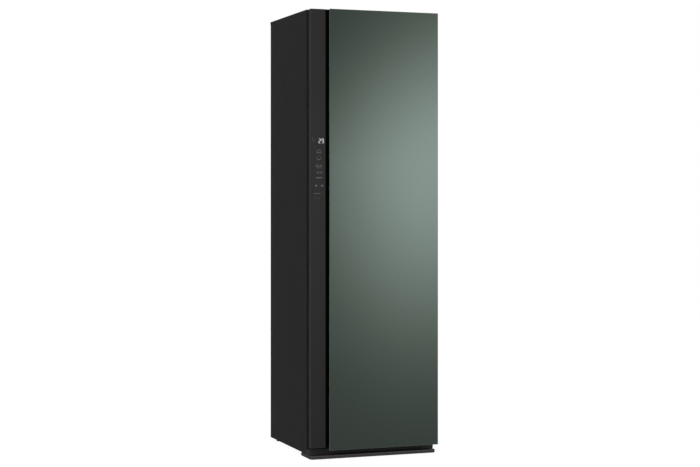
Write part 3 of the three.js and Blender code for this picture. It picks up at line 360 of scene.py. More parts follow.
def moulded_rubber():
    tree, place = begin("moulded_rubber")
    grain = tree.noise(place, 1800, 4.0, 0.65)
    bloom = tree.noise(place, 30, 3.0)
    base = tree.colours(bloom, (0.014, 0.014, 0.014), (0.028, 0.028, 0.028))
    return finish("moulded_rubber", base, 0.72 + bloom * 0.15, tree.bump(grain, 0.0001, 0.5))


def copper_tube():
    tree, place = begin("copper_tube")
    tarnish = tree.noise(place, 34, 5.0, 0.6)
    drawn = tree.noise(place, 800, 2.0)
    base = tree.colours(tarnish, (0.33, 0.145, 0.085), (0.72, 0.36, 0.22))
    return finish("copper_tube", base, 0.24 + tarnish * 0.22, tree.bump(drawn, 0.00003, 0.3), 1.0)


def aluminium_extrusion():
    tree, place = begin("aluminium_extrusion")
    lines = tree.noise(tree.stretched(place, (25, 2600, 2600)), 1.0, 2.0)
    base = tree.colours(lines, (0.60, 0.61, 0.62), (0.72, 0.73, 0.74))
    return finish("aluminium_extrusion", base, 0.3 + lines * 0.12, tree.bump(lines, 0.00003, 0.4), 1.0)


def compressor_enamel():
    tree, place = begin("compressor_enamel")
    peel = tree.noise(place, 420, 1.0)
    dust = tree.noise(place, 40, 5.0, 0.6)
    base = tree.colours(dust, (0.009, 0.009, 0.010), (0.022, 0.022, 0.022))
    return finish("compressor_enamel", base, 0.2 + dust * 0.16, tree.bump(peel, 0.0001, 0.4))


def smoked_tank():
    tree, place = begin("smoked_tank")
    flow = tree.noise(place, 22, 2.0)
    base = tree.colours(flow, (0.27, 0.32, 0.36), (0.31, 0.36, 0.40))
    return finish("smoked_tank", base, 0.16 + flow * 0.06,
                  constants={"Transmission Weight": 0.45, "IOR": 1.46})


THREADS = 5200


def press_cloth():
    tree, place = begin("press_cloth")
    x, _, z = tree.axes(place)
    over = (x * THREADS).sine() * 0.5 + 0.5
    under = (z * THREADS).sine() * 0.5 + 0.5
    weave = (over + under) * 0.5
    slubs = tree.noise(tree.stretched(place, (70, 70, 520)), 1.0, 4.0, 0.65)
    heather = tree.noise(place, 380, 2.0)
    shade = weave * 0.4 + slubs * 0.4 + heather * 0.2
    base = tree.colours(shade, (0.15, 0.158, 0.17), (0.43, 0.445, 0.46))
    return finish("press_cloth", base, 0.78 + slubs * 0.12, tree.bump(weave + slubs * 0.8, 0.0003, 0.7),
                  constants={"Sheen Weight": 0.25, "Sheen Roughness": 0.4})


def circuit_card():
    tree, place = begin("circuit_card")
    tracks = tree.node("ShaderNodeTexBrick", {}, {
        "Vector": place, "Scale": 260.0, "Mortar Size": 0.08, "Color1": (0.012, 0.06, 0.022, 1),
        "Color2": (0.016, 0.075, 0.03, 1), "Mortar": (0.035, 0.13, 0.05, 1)}, "Color")
    speckle = tree.noise(place, 300, 3.0)
    return finish("circuit_card", tracks, 0.3 + speckle * 0.15, tree.bump(speckle, 0.00005, 0.3))


def lamp_diffuser():
    tree, place = begin("lamp_diffuser")
    x, _, _ = tree.axes(place)
    ribs = (x * 2400).sine()
    haze = tree.noise(place, 70, 2.0)
    base = tree.colours(haze, (0.78, 0.79, 0.77), (0.86, 0.87, 0.85))
    return finish("lamp_diffuser", base, 0.3 + haze * 0.1, tree.bump(ribs, 0.0001, 0.4),
                  constants={"Subsurface Weight": 0.2, "Subsurface Radius": (0.002, 0.002, 0.002)})


def display_mark(name, level, glow):
    tree, place = begin(name)
    dots = tree.noise(place, 900, 2.0)
    base = tree.colours(dots, [level * 0.9] * 3, [level] * 3)
    return finish(name, base, 0.35 + dots * 0.1,
                  constants={"Emission Color": WHITE, "Emission Strength": glow})


FINISHES = {
    "black_casing": painted_casing(), "black_plastic": moulded_black(), "strip_black": strip_satin(),
    "green_mirror": tinted_mirror(), "liner_grey": liner_plastic(), "foam": insulating_foam(),
    "zinc_steel": zinc_plate(), "brushed_steel": brushed_steel(), "rubber": moulded_rubber(),
    "copper": copper_tube(), "aluminium": aluminium_extrusion(), "compressor_paint": compressor_enamel(),
    "tank_smoke": smoked_tank(), "press_cloth": press_cloth(), "circuit_board": circuit_card(),
    "lamp_white": lamp_diffuser(),
}
SPECIAL = {
    # The grip channel's finish darkens its recess with painted shade.
    "grip_channel": recess_painted_shade(), "door_frame": door_edge(), "base_plate": plinth_black(),
    "kick_cover": kick_cover_black(), "press_board": press_frame_grey(),
}
SPECIAL["press_plate"] = SPECIAL["press_board"]
SLOTS = {row["node"]: row["material_slot"] for row in frame["record"]["subparts"]}
BODIES = {node: body for body, nodes in frame["record"]["behaviour"]["bodies"].items() for node in nodes}


def pick(piece):
    """Makes the piece the only selected object and the active one."""
    bpy.ops.object.select_all(action="DESELECT")
    piece.select_set(True)
    bpy.context.view_layer.objects.active = piece


def coat(piece, material):
    """Gives the whole piece one finish."""
    piece.data.materials.clear()
    piece.data.materials.append(material)


def modify(piece, kind, **settings):
    """Adds a modifier, sets it and applies it."""
    pick(piece)
    modifier = piece.modifiers.new(kind.lower(), kind)
    for name, value in settings.items():
        setattr(modifier, name, value)
    bpy.ops.object.modifier_apply(modifier=modifier.name)


def smooth(piece, angle=SMOOTH_ANGLE):
    """Smooth shading that keeps flat faces flat beside their rounded edges."""
    pick(piece)
    bpy.ops.object.shade_smooth_by_angle(angle=angle)
    modify(piece, "WEIGHTED_NORMAL", keep_sharp=True)


def rounded(piece, width):
    """Rounds the edges, unless the solid's own forms are round all over."""
    if width > 0:
        modify(piece, "BEVEL", width=width, segments=2, limit_method="ANGLE",
               angle_limit=EDGE_ANGLE, use_clamp_overlap=True)
    smooth(piece)


def choose(piece, faces=None, edges=None):
    """In edit mode, selects only the faces or edges that pass a test."""
    bpy.ops.mesh.select_mode(type="FACE" if faces else "EDGE")
    bpy.ops.mesh.select_all(action="DESELECT")
    shape = bmesh.from_edit_mesh(piece.data)
    for part in shape.faces if faces else shape.edges:
        if (faces or edges)(part):
            part.select_set(True)
    bmesh.update_edit_mesh(piece.data)


def merged_copy(node, name):
    """A copy of a solid as one clean mesh, free of its body."""
    solid = frame["nodes"][node]
    piece = solid.copy()
    piece.data = solid.data.copy()
    piece.name = name
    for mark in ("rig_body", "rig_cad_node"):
        del piece[mark]
    piece.parent = None
    scene.collection.objects.link(piece)
    pick(piece)
    bpy.ops.object.mode_set(mode="EDIT")
    bpy.ops.mesh.select_all(action="SELECT")
    bpy.ops.mesh.remove_doubles(threshold=MERGE)
    bpy.ops.mesh.dissolve_limited(angle_limit=FLAT_ANGLE)
    bpy.ops.object.mode_set(mode="OBJECT")
    return piece


def accent(piece, material, test):
    """Gives the faces that pass a test a second finish."""
    piece.data.materials.append(material)
    pick(piece)
    bpy.ops.object.mode_set(mode="EDIT")
    choose(piece, faces=test)
    piece.active_material_index = len(piece.data.materials) - 1
    bpy.ops.object.material_slot_assign()
    bpy.ops.object.mode_set(mode="OBJECT")


def settle(piece, body, slot, material=None):
    """Gives a piece its finish and lets it ride on its body."""
    coat(piece, material or FINISHES[slot])
    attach(piece, body)
    return piece


def grooved_gasket(piece):
    """Presses a bellows groove into the outer and inner sides of the gasket."""
    choose(piece, faces=lambda face: abs(face.normal.y) < 0.5)
    bpy.ops.mesh.inset(thickness=BELLOWS_RIM)
    bpy.ops.transform.shrink_fatten(value=-BELLOWS_DEPTH)


def recessed_board(piece):
    """Sinks the board's face so that its pad has a moulded rim."""
    sunk_face(piece, BOARD_FACE_Y, 1)


def recessed_plate(piece):
    """Sinks the plate's inner face for its pad, and its outer face for looks."""
    sunk_face(piece, PLATE_FACE_Y, -1)
    choose(piece, faces=lambda face: face.normal.y > 0.9 and face.calc_area() > BROAD)
    bpy.ops.mesh.inset(thickness=OUTER_RIM)
    bpy.ops.mesh.inset(thickness=OUTER_SLOPE, depth=-OUTER_DEPTH)


def rolled_strip(piece):
    """Widens the roll of the strip's inner front edge into the grip channel."""
    right = max(vertex.co.x for vertex in piece.data.vertices)
    choose(piece, faces=lambda face: 0.1 < face.normal.x < 0.99)
    bpy.ops.transform.resize(value=(STRIP_ROLL, 1, 1), center_override=(right, 0, 0))


def lipped_frame(piece):
    """Parts the front of the door frame's sides, which has a satin finish with a painted highlight, from the
    rest.
    """
    bpy.ops.mesh.select_all(action="SELECT")
    bpy.ops.mesh.bisect(plane_co=(0, LIP_BACK_Y, 0), plane_no=(0, 1, 0))


def sunk_face(piece, face_y, facing):
    """Sinks the broad face at a place inside a rim."""
    choose(piece, faces=lambda face: face.normal.y * facing > 0.9 and face.calc_area() > BROAD
           and abs(face.calc_center_median().y - face_y) < NEAR)
    bpy.ops.mesh.inset(thickness=PAD_RIM)
    bpy.ops.mesh.extrude_region_move(TRANSFORM_OT_translate={"value": (0, -facing * PAD_ROOM, 0)})


def filleted_liner(piece):
    """Rounds the upper inner corners of the moulded cavity."""
    rear = max(vertex.co.y for vertex in piece.data.vertices) - LINER_WALL

    def corner(edge):
        first, second = (vertex.co for vertex in edge.verts)
        middle = (first + second) / 2
        on_rear = abs(first.y - rear) < NEAR and abs(second.y - rear) < NEAR
        on_sides = abs(abs(middle.x) - CAVITY_HALF) < NEAR
        on_top = abs(first.z - CAVITY_TOP) < NEAR and abs(second.z - CAVITY_TOP) < NEAR
        return edge.calc_length() > LONG_EDGE and (on_rear, on_sides, on_top).count(True) > 1

    choose(piece, edges=corner)
    bpy.ops.mesh.bevel(offset=CAVITY_FILLET, offset_type="OFFSET", segments=5, affect="EDGES")


# Places of the solids that the shaping looks for, and the sizes that it gives; BROAD is in square metres
NEAR = 1 * MM
BROAD = 0.05
LONG_EDGE = 0.3
BOARD_FACE_Y = -211.7 * MM
PLATE_FACE_Y = -208.7 * MM
PAD_RIM = 8 * MM
PAD_ROOM = 6 * MM
OUTER_RIM = 9 * MM
OUTER_SLOPE = 1.2 * MM
OUTER_DEPTH = 1.4 * MM
BELLOWS_RIM = 1.3 * MM
BELLOWS_DEPTH = 1.6 * MM
STRIP_ROLL = 2.0
LIP_BACK_Y = -268.7 * MM
LINER_WALL = 3 * MM
CAVITY_HALF = 250 * MM
CAVITY_TOP = 1840 * MM
CAVITY_FILLET = 14 * MM
SHAPING = {
    "door_gasket": grooved_gasket, "press_board": recessed_board, "press_plate": recessed_plate,
    "cavity_liner": filleted_liner, "control_strip": rolled_strip, "door_frame": lipped_frame,
}


def refined(node, edge):
    """A solid with its small edges rounded, which stands for it."""
    piece = merged_copy(node, node + "_finished")
    if node in SHAPING:
        bpy.ops.object.mode_set(mode="EDIT")
        SHAPING[node](piece)
        bpy.ops.object.mode_set(mode="OBJECT")
    rounded(piece, edge)
    settle(piece, BODIES[node], SLOTS[node], SPECIAL.get(node))
    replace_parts(piece, node)
    return piece


# Pieces whose solids have the right shape and only need their edges eased
EASED_MM = {
    "side_panel_left": 0.5, "side_panel_right": 0.5, "top_panel": 0.8, "rear_panel": 0.4,
    "kick_panel": 0.5, "kick_cover": 0.8, "base_frame": 0.5, "base_plate": 0.6,
    "door_frame": 0.8, "control_strip": 0.5, "grip_channel": 0.6, "glass_carrier": 0.6,
    "mirror_glass": 0.35, "door_inner_panel": 0.6, "door_inner_cover": 2.0, "cavity_liner": 1.0,
    "tank_bay": 1.0, "floor_grille": 0.6, "lint_filter": 1.0, "aroma_tray": 1.2, "shelf": 1.6,
    "air_duct": 0.6, "heat_exchanger": 0.3, "fan_motor": 1.0, "fan_impeller": 0.5,
    "supply_tank": 1.0, "drain_tank": 1.0, "supply_tank_lid": 1.2, "drain_tank_lid": 1.2,
    "compressor": 0.0, "compressor_mount": 0.6,
    "steam_generator": 0.8, "steam_pipe": 0.0, "refrigerant_pipe": 0.0, "drain_pump": 0.6,
    "hanger_guide": 0.4, "hanger_carriage": 0.5, "hanger_bar": 0.9, "crank_disc": 0.6,
    "crank_motor": 1.0, "lamp_lens": 1.2, "control_board": 0.2, "display_board": 0.2,
    "power_inlet": 0.5, "top_hinge_bracket": 0.5, "bottom_hinge_bracket": 0.5, "top_hinge_pin": 0.3,
    "bottom_hinge_pin": 0.3, "top_hinge_bush": 0.2, "bottom_hinge_bush": 0.2, "rear_foot_left": 0.8,
    "rear_foot_right": 0.8, "clip_rail": 0.4, "stretch_clip": 1.2, "trouser_hook": 1.0,
    "foam_jacket": 1.0, "door_foam": 1.0, "press_board": 1.0, "press_plate": 1.5, "door_gasket": 0.6,
}
PIECES = {node: refined(node, edge * MM) for node, edge in EASED_MM.items()}

# Second finishes of edges, lips and grips; the lighter lip and arrises are painted highlights
GLASS_FACE_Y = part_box("mirror_glass")[0].y
TANK_FACE_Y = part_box("supply_tank_lid")[0].y
GRIP_FOOT_Z = 446.5 * MM
accent(PIECES["mirror_glass"], ground_glass_edge(),
       lambda face: face.calc_center_median().y > GLASS_FACE_Y + NEAR / 2)
accent(PIECES["door_inner_panel"], SPECIAL["door_frame"], lambda face: abs(face.normal.y) < 0.7)
# The front lip of the door frame's left side is painted lighter, a painted highlight.
accent(PIECES["door_frame"], painted_highlight_arris("door_lip_painted_highlight", 0.022, 0.030),
       lambda face: face.normal.x < -0.5 and face.calc_center_median().y < LIP_BACK_Y)
# The strip's rounded left edge is painted lighter, a painted highlight along the seam.
accent(PIECES["control_strip"], painted_highlight_arris("strip_arris_painted_highlight", 0.030, 0.042), lambda face: face.normal.x < -0.25)
accent(PIECES["control_strip"], SPECIAL["door_frame"], lambda face: face.normal.x > 0.05)
for tank in ("supply_tank", "drain_tank"):
    accent(PIECES[tank], FINISHES["black_plastic"],
           lambda face: face.calc_center_median().y < TANK_FACE_Y - NEAR)
for node in ("lint_filter", "aroma_tray"):
    accent(PIECES[node], FINISHES["black_plastic"], lambda face: face.calc_center_median().z > GRIP_FOOT_Z)
# The plate's upper front bevel is painted lighter, a painted highlight along its top edge.
accent(PIECES["base_plate"], painted_highlight_arris("plinth_arris_painted_highlight", 0.055, 0.075),
       lambda face: 0.3 < face.normal.z < 0.95)


def press_pad(name, body, face_y, facing):
    """A pad with a sewn border that fills the sunk face of a press piece, puffed by a cloth simulation."""
    half_width = PRESS_HALF - PAD_RIM - PAD_CLEAR
    bottom = PRESS_BOTTOM + PAD_RIM + PAD_CLEAR
    top = PRESS_TOP - PAD_RIM - PAD_CLEAR
    across, along = PAD_CELLS
    floor_y = face_y - facing * (PAD_ROOM - PAD_CLEAR)
    rest_y = floor_y + facing * PAD_BODY
    bpy.ops.mesh.primitive_grid_add(x_subdivisions=across, y_subdivisions=along, size=1,
                                    rotation=(math.pi / 2, 0, 0))
    pad = bpy.context.object
    pad.name = name
    bpy.ops.object.transform_apply(location=False, rotation=True, scale=False)
    bpy.ops.object.mode_set(mode="EDIT")
    bpy.ops.mesh.select_all(action="SELECT")
    bpy.ops.transform.resize(value=(2 * half_width, 1, top - bottom), center_override=(0, 0, 0))
    bpy.ops.mesh.extrude_region_move(TRANSFORM_OT_translate={"value": (0, facing * PAD_BODY, 0)})
    bpy.ops.mesh.select_all(action="SELECT")
    bpy.ops.transform.translate(value=(0, floor_y, (bottom + top) / 2))
    bpy.ops.mesh.normals_make_consistent(inside=False)
    bpy.ops.object.mode_set(mode="OBJECT")
    held = pad.vertex_groups.new(name="held")
    for vertex in pad.data.vertices:
        place = vertex.co
        front = (place.y - rest_y) * facing > -0.1 * MM
        cells_in = min((half_width - abs(place.x)) / (2 * half_width) * across,
                       min(place.z - bottom, top - place.z) / (top - bottom) * along)
        on_seam = front and abs(cells_in - PAD_BORDER_CELLS) < 0.5
        on_rim = cells_in < 0.5
        if on_seam:
            place.y -= facing * SEAM_SINK
        if on_seam or on_rim or not front:
            held.add([vertex.index], 1.0, "REPLACE")
    flat = [vertex.co.y for vertex in pad.data.vertices]
    cloth = pad.modifiers.new("cloth", "CLOTH")
    cloth.settings.vertex_group_mass = held.name
    cloth.settings.use_pressure = True
    cloth.settings.uniform_pressure_force = PAD_PRESSURE
    cloth.settings.effector_weights.gravity = 0
    cloth.settings.tension_stiffness = PAD_STIFFNESS
    cloth.settings.compression_stiffness = PAD_STIFFNESS
    cloth.settings.quality = 5
    cloth.collision_settings.use_collision = False
    for step in range(PAD_FRAMES):
        scene.frame_set(step + 1)
    pick(pad)
    bpy.ops.object.modifier_apply(modifier=cloth.name)
    scene.frame_set(1)
    for vertex, before in zip(pad.data.vertices, flat):
        rise = (vertex.co.y - before) * facing
        vertex.co.y = before + facing * PAD_CAP * math.tanh(max(0.0, rise) / PAD_CAP)
    modify(pad, "SUBSURF", levels=1, render_levels=1)
    smooth(pad)
    settle(pad, body, "press_cloth")
    return pad


# Sizes of the press and of its pads
PRESS_HALF = 150 * MM
PRESS_BOTTOM = 640 * MM
PRESS_TOP = 1540 * MM
PAD_CLEAR = 0.4 * MM
PAD_BODY = 3.2 * MM
PAD_CAP = 2.6 * MM
PAD_CELLS = (48, 144)
PAD_BORDER_CELLS = 2
PAD_PRESSURE = 4
PAD_STIFFNESS = 8
PAD_FRAMES = 20
SEAM_SINK = 1.6 * MM
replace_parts(press_pad("press_board_pad", "door", BOARD_FACE_Y, 1), "press_board")
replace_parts(press_pad("press_plate_pad", "press", PLATE_FACE_Y, -1), "press_plate")


def lint_mesh(name, face_y, facing):
    """The woven mesh that catches the lint, in the window of the filter's frame."""
    across, along = MESH_CELLS
    bpy.ops.mesh.primitive_grid_add(x_subdivisions=across, y_subdivisions=along, size=1,
                                    rotation=(math.pi / 2, 0, 0))
    mesh = bpy.context.object
    mesh.name = name
    bpy.ops.object.transform_apply(location=False, rotation=True, scale=False)
    bpy.ops.object.mode_set(mode="EDIT")
    bpy.ops.mesh.select_all(action="SELECT")
    bpy.ops.transform.resize(value=(MESH_WIDTH, 1, MESH_HEIGHT), center_override=(0, 0, 0))
    bpy.ops.transform.translate(value=(0, face_y + facing * MESH_WIRE, MESH_CENTRE_Z))
    bpy.ops.object.mode_set(mode="OBJECT")
    modify(mesh, "WIREFRAME", thickness=MESH_WIRE, offset=0, use_even_offset=False, use_boundary=True)
    smooth(mesh)
    return settle(mesh, "filter", "black_plastic")


# Places and sizes of the lint mesh
FILTER_LOW, FILTER_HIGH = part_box("lint_filter")
FILTER_MIDDLE_Y = (FILTER_LOW.y + FILTER_HIGH.y) / 2
MESH_CELLS = (54, 10)
MESH_WIRE = 0.9 * MM
MESH_OFFSET = 3.5 * MM
MESH_WIDTH = 217 * MM
MESH_HEIGHT = 39 * MM
MESH_CENTRE_Z = FILTER_LOW.z + 26 * MM
for side, facing in (("front", -1), ("rear", 1)):
    lint_mesh("lint_mesh_" + side, FILTER_MIDDLE_Y + facing * MESH_OFFSET, facing)


def pan_head(name, radius, height, turn=0.0):
    """A pan-head screw at the origin, facing the rear or turned: a domed head with a round socket."""
    bpy.ops.mesh.primitive_circle_add(vertices=18, radius=radius, fill_type="NGON",
                                      rotation=(-math.pi / 2, 0, 0))
    screw = bpy.context.object
    screw.name = name
    bpy.ops.object.transform_apply(location=False, rotation=True, scale=False)
    bpy.ops.object.mode_set(mode="EDIT")
    bpy.ops.mesh.select_all(action="SELECT")
    bpy.ops.mesh.extrude_region_move(TRANSFORM_OT_translate={"value": (0, 0.55 * height, 0)})
    bpy.ops.mesh.inset(thickness=0.16 * radius, depth=0.3 * height)
    bpy.ops.mesh.inset(thickness=0.3 * radius, depth=0.15 * height)
    bpy.ops.mesh.inset(thickness=0.1 * radius)
    bpy.ops.mesh.extrude_region_move(TRANSFORM_OT_translate={"value": (0, -0.6 * height, 0)})
    bpy.ops.mesh.select_all(action="SELECT")
    bpy.ops.transform.rotate(value=turn, orient_axis="Z", center_override=(0, 0, 0))
    bpy.ops.mesh.normals_make_consistent(inside=False)
    bpy.ops.object.mode_set(mode="OBJECT")
    smooth(screw, math.radians(30))
    return screw


def placed_copy(master, name, offset):
    """A copy with its own mesh, its place in the mesh."""
    piece = master.copy()
    piece.data = master.data.copy()
    piece.name = name
    scene.collection.objects.link(piece)
    pick(piece)
    bpy.ops.object.mode_set(mode="EDIT")
    bpy.ops.mesh.select_all(action="SELECT")
    bpy.ops.transform.translate(value=offset)
    bpy.ops.object.mode_set(mode="OBJECT")
    return piece


# Screws that hold the rear cover to the side panels
SCREW_HEIGHTS = (0.13, 0.55, 0.97, 1.39, 1.81)
SCREW_X = 0.2895
SCREW_RADIUS = 3.8 * MM
SCREW_HEIGHT = 1.8 * MM
SCREW_SEAT_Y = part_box("rear_panel")[1].y
REAR_SCREW = pan_head("rear_screw_master", SCREW_RADIUS, SCREW_HEIGHT)
for side, x in (("left", -SCREW_X), ("right", SCREW_X)):
    for number, height in enumerate(SCREW_HEIGHTS):
        settle(placed_copy(REAR_SCREW, f"rear_screw_{side}_{number}", (x, SCREW_SEAT_Y, height)),
               "cabinet", "zinc_steel")
bpy.data.objects.remove(REAR_SCREW)

# Screws that hold the top hinge bracket to the casing
BRACKET_SCREW_X = 0.2600
BRACKET_SCREW_Z = (1.9145, 1.9295)
BRACKET_FACE_Y = -235.0 * MM
BRACKET_SCREW_RADIUS = 3.4 * MM
BRACKET_SCREW_HEIGHT = 1.2 * MM
HINGE_SCREW = pan_head("hinge_screw_master", BRACKET_SCREW_RADIUS, BRACKET_SCREW_HEIGHT, math.pi)
for number, height in enumerate(BRACKET_SCREW_Z):
    settle(placed_copy(HINGE_SCREW, f"hinge_screw_{number}", (BRACKET_SCREW_X, BRACKET_FACE_Y, height)),
           "cabinet", "zinc_steel")
bpy.data.objects.remove(HINGE_SCREW)

# Lit figures and dim marks on the control strip, each a thin plate on its front face
STRIP_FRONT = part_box("control_strip")[0].y
MARK_THICKNESS = 0.00022
LIT = display_mark("display_lit", 0.45, 0.30)
SOFT = display_mark("display_soft", 0.125, 0.0)
CLEAR = display_mark("display_clear", 0.082, 0.0)
DIM = display_mark("display_dim", 0.055, 0.0)
FAINT = display_mark("display_faint", 0.033, 0.0)
DIGIT_WIDTH_MM = 11.0
DIGIT_HEIGHT_MM = 21.2
BAR_MM = 2.8
BAR_GAP_MM = 0.6
FIGURES_LEFT_MM = -260.5
FIGURES_BOTTOM_MM = 1374.2
FIGURE_PITCH_MM = 13.9
SEGMENTS = {
    2: "top upper_right middle lower_left bottom",
    9: "top upper_left upper_right middle lower_right bottom",
}


def mark(name, width_mm, height_mm, x_mm, z_mm, corners=4, material=DIM,
         face_y=STRIP_FRONT, body="door", slot="lamp_white"):
    """A flat mark: a plain outline with as many corners, stretched to size on a front face."""
    turn = math.pi / 4 if corners == 4 else 0
    reach = 0.5 / math.cos(turn)
    bpy.ops.mesh.primitive_circle_add(vertices=corners, radius=reach, fill_type="NGON",
                                      rotation=(math.pi / 2, 0, 0))
    piece = bpy.context.object
    piece.name = name
    bpy.ops.object.transform_apply(location=False, rotation=True, scale=False)
    bpy.ops.object.mode_set(mode="EDIT")
    bpy.ops.mesh.select_all(action="SELECT")
    if corners == 4:
        bpy.ops.transform.rotate(value=turn, orient_axis="Y", center_override=(0, 0, 0))
    bpy.ops.transform.resize(value=(width_mm * MM, 1, height_mm * MM), center_override=(0, 0, 0))
    bpy.ops.mesh.extrude_region_move(TRANSFORM_OT_translate={"value": (0, -MARK_THICKNESS, 0)})
    bpy.ops.mesh.select_all(action="SELECT")
    bpy.ops.transform.translate(value=(x_mm * MM, face_y, z_mm * MM))
    bpy.ops.mesh.normals_make_consistent(inside=False)
    bpy.ops.object.mode_set(mode="OBJECT")
    return settle(piece, body, slot, material)


def figure(number, x_mm, z_mm):
    """A seven-segment figure from its lower left corner."""
    half = (DIGIT_HEIGHT_MM - BAR_MM) / 2
    wide = DIGIT_WIDTH_MM - BAR_MM - BAR_GAP_MM
    tall = half - BAR_GAP_MM
    left = x_mm + BAR_MM / 2
    right = x_mm + DIGIT_WIDTH_MM - BAR_MM / 2
    middle = x_mm + DIGIT_WIDTH_MM / 2
    low = z_mm + BAR_MM / 2
    places = {
        "bottom": (wide, BAR_MM, middle, low), "middle": (wide, BAR_MM, middle, low + half),
        "top": (wide, BAR_MM, middle, low + 2 * half), "lower_left": (BAR_MM, tall, left, low + half / 2),
        "lower_right": (BAR_MM, tall, right, low + half / 2),
        "upper_left": (BAR_MM, tall, left, low + 1.5 * half),
        "upper_right": (BAR_MM, tall, right, low + 1.5 * half),
    }
    for segment in SEGMENTS[number].split():
        mark(f"figure_{number}_{segment}", *places[segment], corners=6, material=LIT)


figure(2, FIGURES_LEFT_MM, FIGURES_BOTTOM_MM)
figure(9, FIGURES_LEFT_MM + FIGURE_PITCH_MM, FIGURES_BOTTOM_MM)


RING_BARS = 14


def ring(name, x_mm, z_mm, radius_mm, line_mm, material, kept=lambda angle: True):
    """A ring of short bars, or the part of it whose angles are kept."""
    for step in range(RING_BARS):
        angle = math.tau * step / RING_BARS
        if kept(angle):
            mark(f"{name}_{step}", line_mm, line_mm, x_mm + radius_mm * math.cos(angle),
                 z_mm + radius_mm * math.sin(angle), 6, material)


# Touch marks under the figures, from the top down: width, height, X, Z and finish of each bar
BARS = (
    (4.0, 22.0, -288.0, 1391.0, FAINT), (4.0, 14.0, -280.0, 1388.0, FAINT),
    (16.0, 2.6, -279.0, 1361.0, FAINT), (22.0, 3.6, -258.5, 1333.5, CLEAR),
    (10.0, 6.0, -267.0, 1279.5, DIM), (8.0, 10.0, -250.0, 1278.0, DIM), (30.0, 3.6, -259.0, 1273.5, CLEAR),
    (26.0, 2.6, -257.0, 1267.5, DIM), (12.0, 9.0, -263.5, 1247.5, DIM), (12.0, 9.0, -248.5, 1247.5, DIM),
    (29.0, 5.2, -258.0, 1224.8, CLEAR), (30.0, 3.0, -266.0, 1156.5, CLEAR),
    (27.0, 2.4, -266.5, 1136.0, FAINT),
)
for number, (wide, high, x_mm, z_mm, material) in enumerate(BARS):
    mark(f"touch_bar_{number}", wide, high, x_mm, z_mm, material=material)
ring("touch_arc", -258.5, 1336.0, 10.0, 4.2, CLEAR, lambda angle: angle <= math.pi)
ring("touch_ring", -258.5, 1312.0, 9.0, 3.2, DIM)
ring("touch_ring_low", -258.5, 1312.0, 9.0, 5.2, CLEAR, lambda angle: angle > math.pi)
for side, x_mm in (("left", -271.3), ("right", -244.0)):
    mark("touch_dot_" + side, 9.2, 9.2, x_mm, 1190.4, 12, SOFT)

# Level marks moulded on the front of each water tank
TANK_CENTRE_MM = 130.25
LEVEL_X_MM = 92.0
LEVEL_LINE_MM = 1.6
LEVELS_MM = ((200.0, 18.0), (225.0, 11.0), (250.0, 18.0), (275.0, 11.0), (300.0, 18.0))
for tank, side in (("supply_tank", -1), ("drain_tank", 1)):
    for number, (height, wide) in enumerate(LEVELS_MM):
        mark(f"{tank}_level_{number}", wide, LEVEL_LINE_MM, side * TANK_CENTRE_MM + LEVEL_X_MM, height,
             material=None, face_y=TANK_FACE_Y, body=tank, slot="liner_grey")


def camera():
    bpy.ops.object.camera_add(location=CAMERA_PLACE, rotation=(math.pi / 2, 0, -CAMERA_YAW))
    made = bpy.context.object
    made.data.sensor_width = SENSOR_WIDTH_MM
    made.data.lens = LENS_LENGTH_MM
    made.data.shift_y = -HORIZON_ABOVE_MIDDLE / PICTURE_WIDTH
    made.data.clip_end = 500
    scene.camera = made


def sheet_of_stage(name, location, rotation, size):
    """A flat sheet of the studio, out of the object."""
    bpy.ops.mesh.primitive_plane_add(size=1, location=location, rotation=rotation)
    made = bpy.context.object
    made.name = name
    made.scale = (*size, 1)
    bpy.ops.object.transform_apply(location=True, rotation=True, scale=True)
    return made


def floor():
    made = sheet_of_stage("floor", (0, 0, 0), (0, 0, 0), (2 * FLOOR_HALF, 2 * FLOOR_HALF))
    material = bpy.data.materials.new("floor_white")
    tree = Tree(material)
    matt = tree.node("ShaderNodeBsdfDiffuse", {}, {"Color": (FLOOR_GREY, FLOOR_GREY, FLOOR_GREY, 1)})
    glow = tree.node("ShaderNodeEmission", {}, {"Color": WHITE, "Strength": FLOOR_GLOW})
    seen = tree.rays("Is Camera Ray", "Is Glossy Ray", "Is Transmission Ray") * FLOOR_SHARE
    tree.node("ShaderNodeOutputMaterial", {}, {"Surface": tree.mixed(seen, matt, glow)})
    coat(made, material)
    made.visible_glossy = False


def reflected_only(card):
    """A studio card that only gloss sees."""
    card.visible_camera = False
    card.visible_diffuse = False
    card.visible_shadow = False
    card.visible_transmission = False
    card.visible_volume_scatter = False


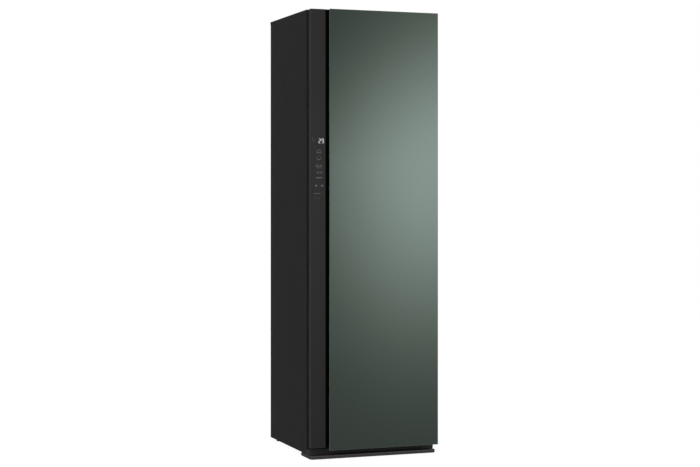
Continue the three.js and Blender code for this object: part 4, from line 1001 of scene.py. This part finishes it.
def front_card():
    """The soft card in front of the glass: brightest and coolest at one place, dim round it."""
    made = sheet_of_stage("front_card", (0.25, CARD_Y, 1.0), (math.pi / 2, 0, 0), (8.0, 6.0))
    material = bpy.data.materials.new("front_card")
    tree = Tree(material)
    x, _, z = tree.axes(tree.place())

    def lobe(at_x, width):
        rise = z - CARD_LOBE_Z
        above = rise > 0.0
        spread = above * (CARD_LOBE_UP - CARD_LOBE_DOWN) + CARD_LOBE_DOWN
        across = (x - at_x - above * rise * CARD_LEAN) / width
        up = rise / spread
        power = (across * across + up * up) * -0.5
        return power.exponent()

    lobes = lobe(CARD_LOBE_X, CARD_LOBE_WIDTH) + lobe(FAR_LOBE_X, FAR_LOBE_WIDTH) * FAR_LOBE_SHARE
    level = lobes * CARD_PEAK + CARD_LEVEL
    tint = tree.colours((level - DIM_LEVEL) / (BRIGHT_LEVEL - DIM_LEVEL), DIM_TINT, BRIGHT_TINT)
    glow = tree.node("ShaderNodeEmission", {}, {"Color": tint, "Strength": level})
    tree.node("ShaderNodeOutputMaterial", {}, {"Surface": glow})
    coat(made, material)
    reflected_only(made)


def side_flag(name, x):
    """A dark sheet that keeps one side of the casing black."""
    made = sheet_of_stage(name, (x, 5.0, 1.2), (0, math.pi / 2, 0), (7.0, 11.0))
    material = bpy.data.materials.new(name)
    tree = Tree(material)
    glow = tree.node("ShaderNodeEmission", {}, {"Color": FLAG_TINT, "Strength": FLAG_LEVEL})
    tree.node("ShaderNodeOutputMaterial", {}, {"Surface": glow})
    coat(made, material)
    reflected_only(made)


def lamp(name, location, size, power):
    """A soft lamp aimed at the middle of the cabinet, left out of reflections."""
    bpy.ops.object.light_add(type="AREA", location=location)
    made = bpy.context.object
    made.name = name
    made.data.shape = "DISK"
    made.data.size = size
    made.data.energy = power
    aim = Vector((0, 0, 1.0)) - Vector(location)
    made.rotation_euler = aim.to_track_quat("-Z", "Y").to_euler()
    made.visible_camera = False
    made.visible_glossy = False


def sky():
    world = bpy.data.worlds.new("studio")
    scene.world = world
    tree = Tree(world)
    light = tree.node("ShaderNodeBackground", {}, {"Color": WHITE, "Strength": SKY_LEVEL})
    white = tree.node("ShaderNodeBackground", {}, {"Color": WHITE, "Strength": 1.0})
    seen = tree.rays("Is Camera Ray", "Is Glossy Ray", "Is Transmission Ray")
    tree.node("ShaderNodeOutputWorld", {}, {"Surface": tree.mixed(seen, light, white)})


camera()
floor()
front_card()
side_flag("left_flag", -FLAG_X)
side_flag("right_flag", FLAG_X)
sky()
lamp("key_lamp", (-2.4, -4.2, 3.4), 2.4, 70)
lamp("fill_lamp", (3.4, -3.2, 2.4), 2.6, 45)
lamp("rear_lamp", (-1.2, 4.0, 3.2), 2.4, 45)
scene.view_settings.view_transform = "Standard"
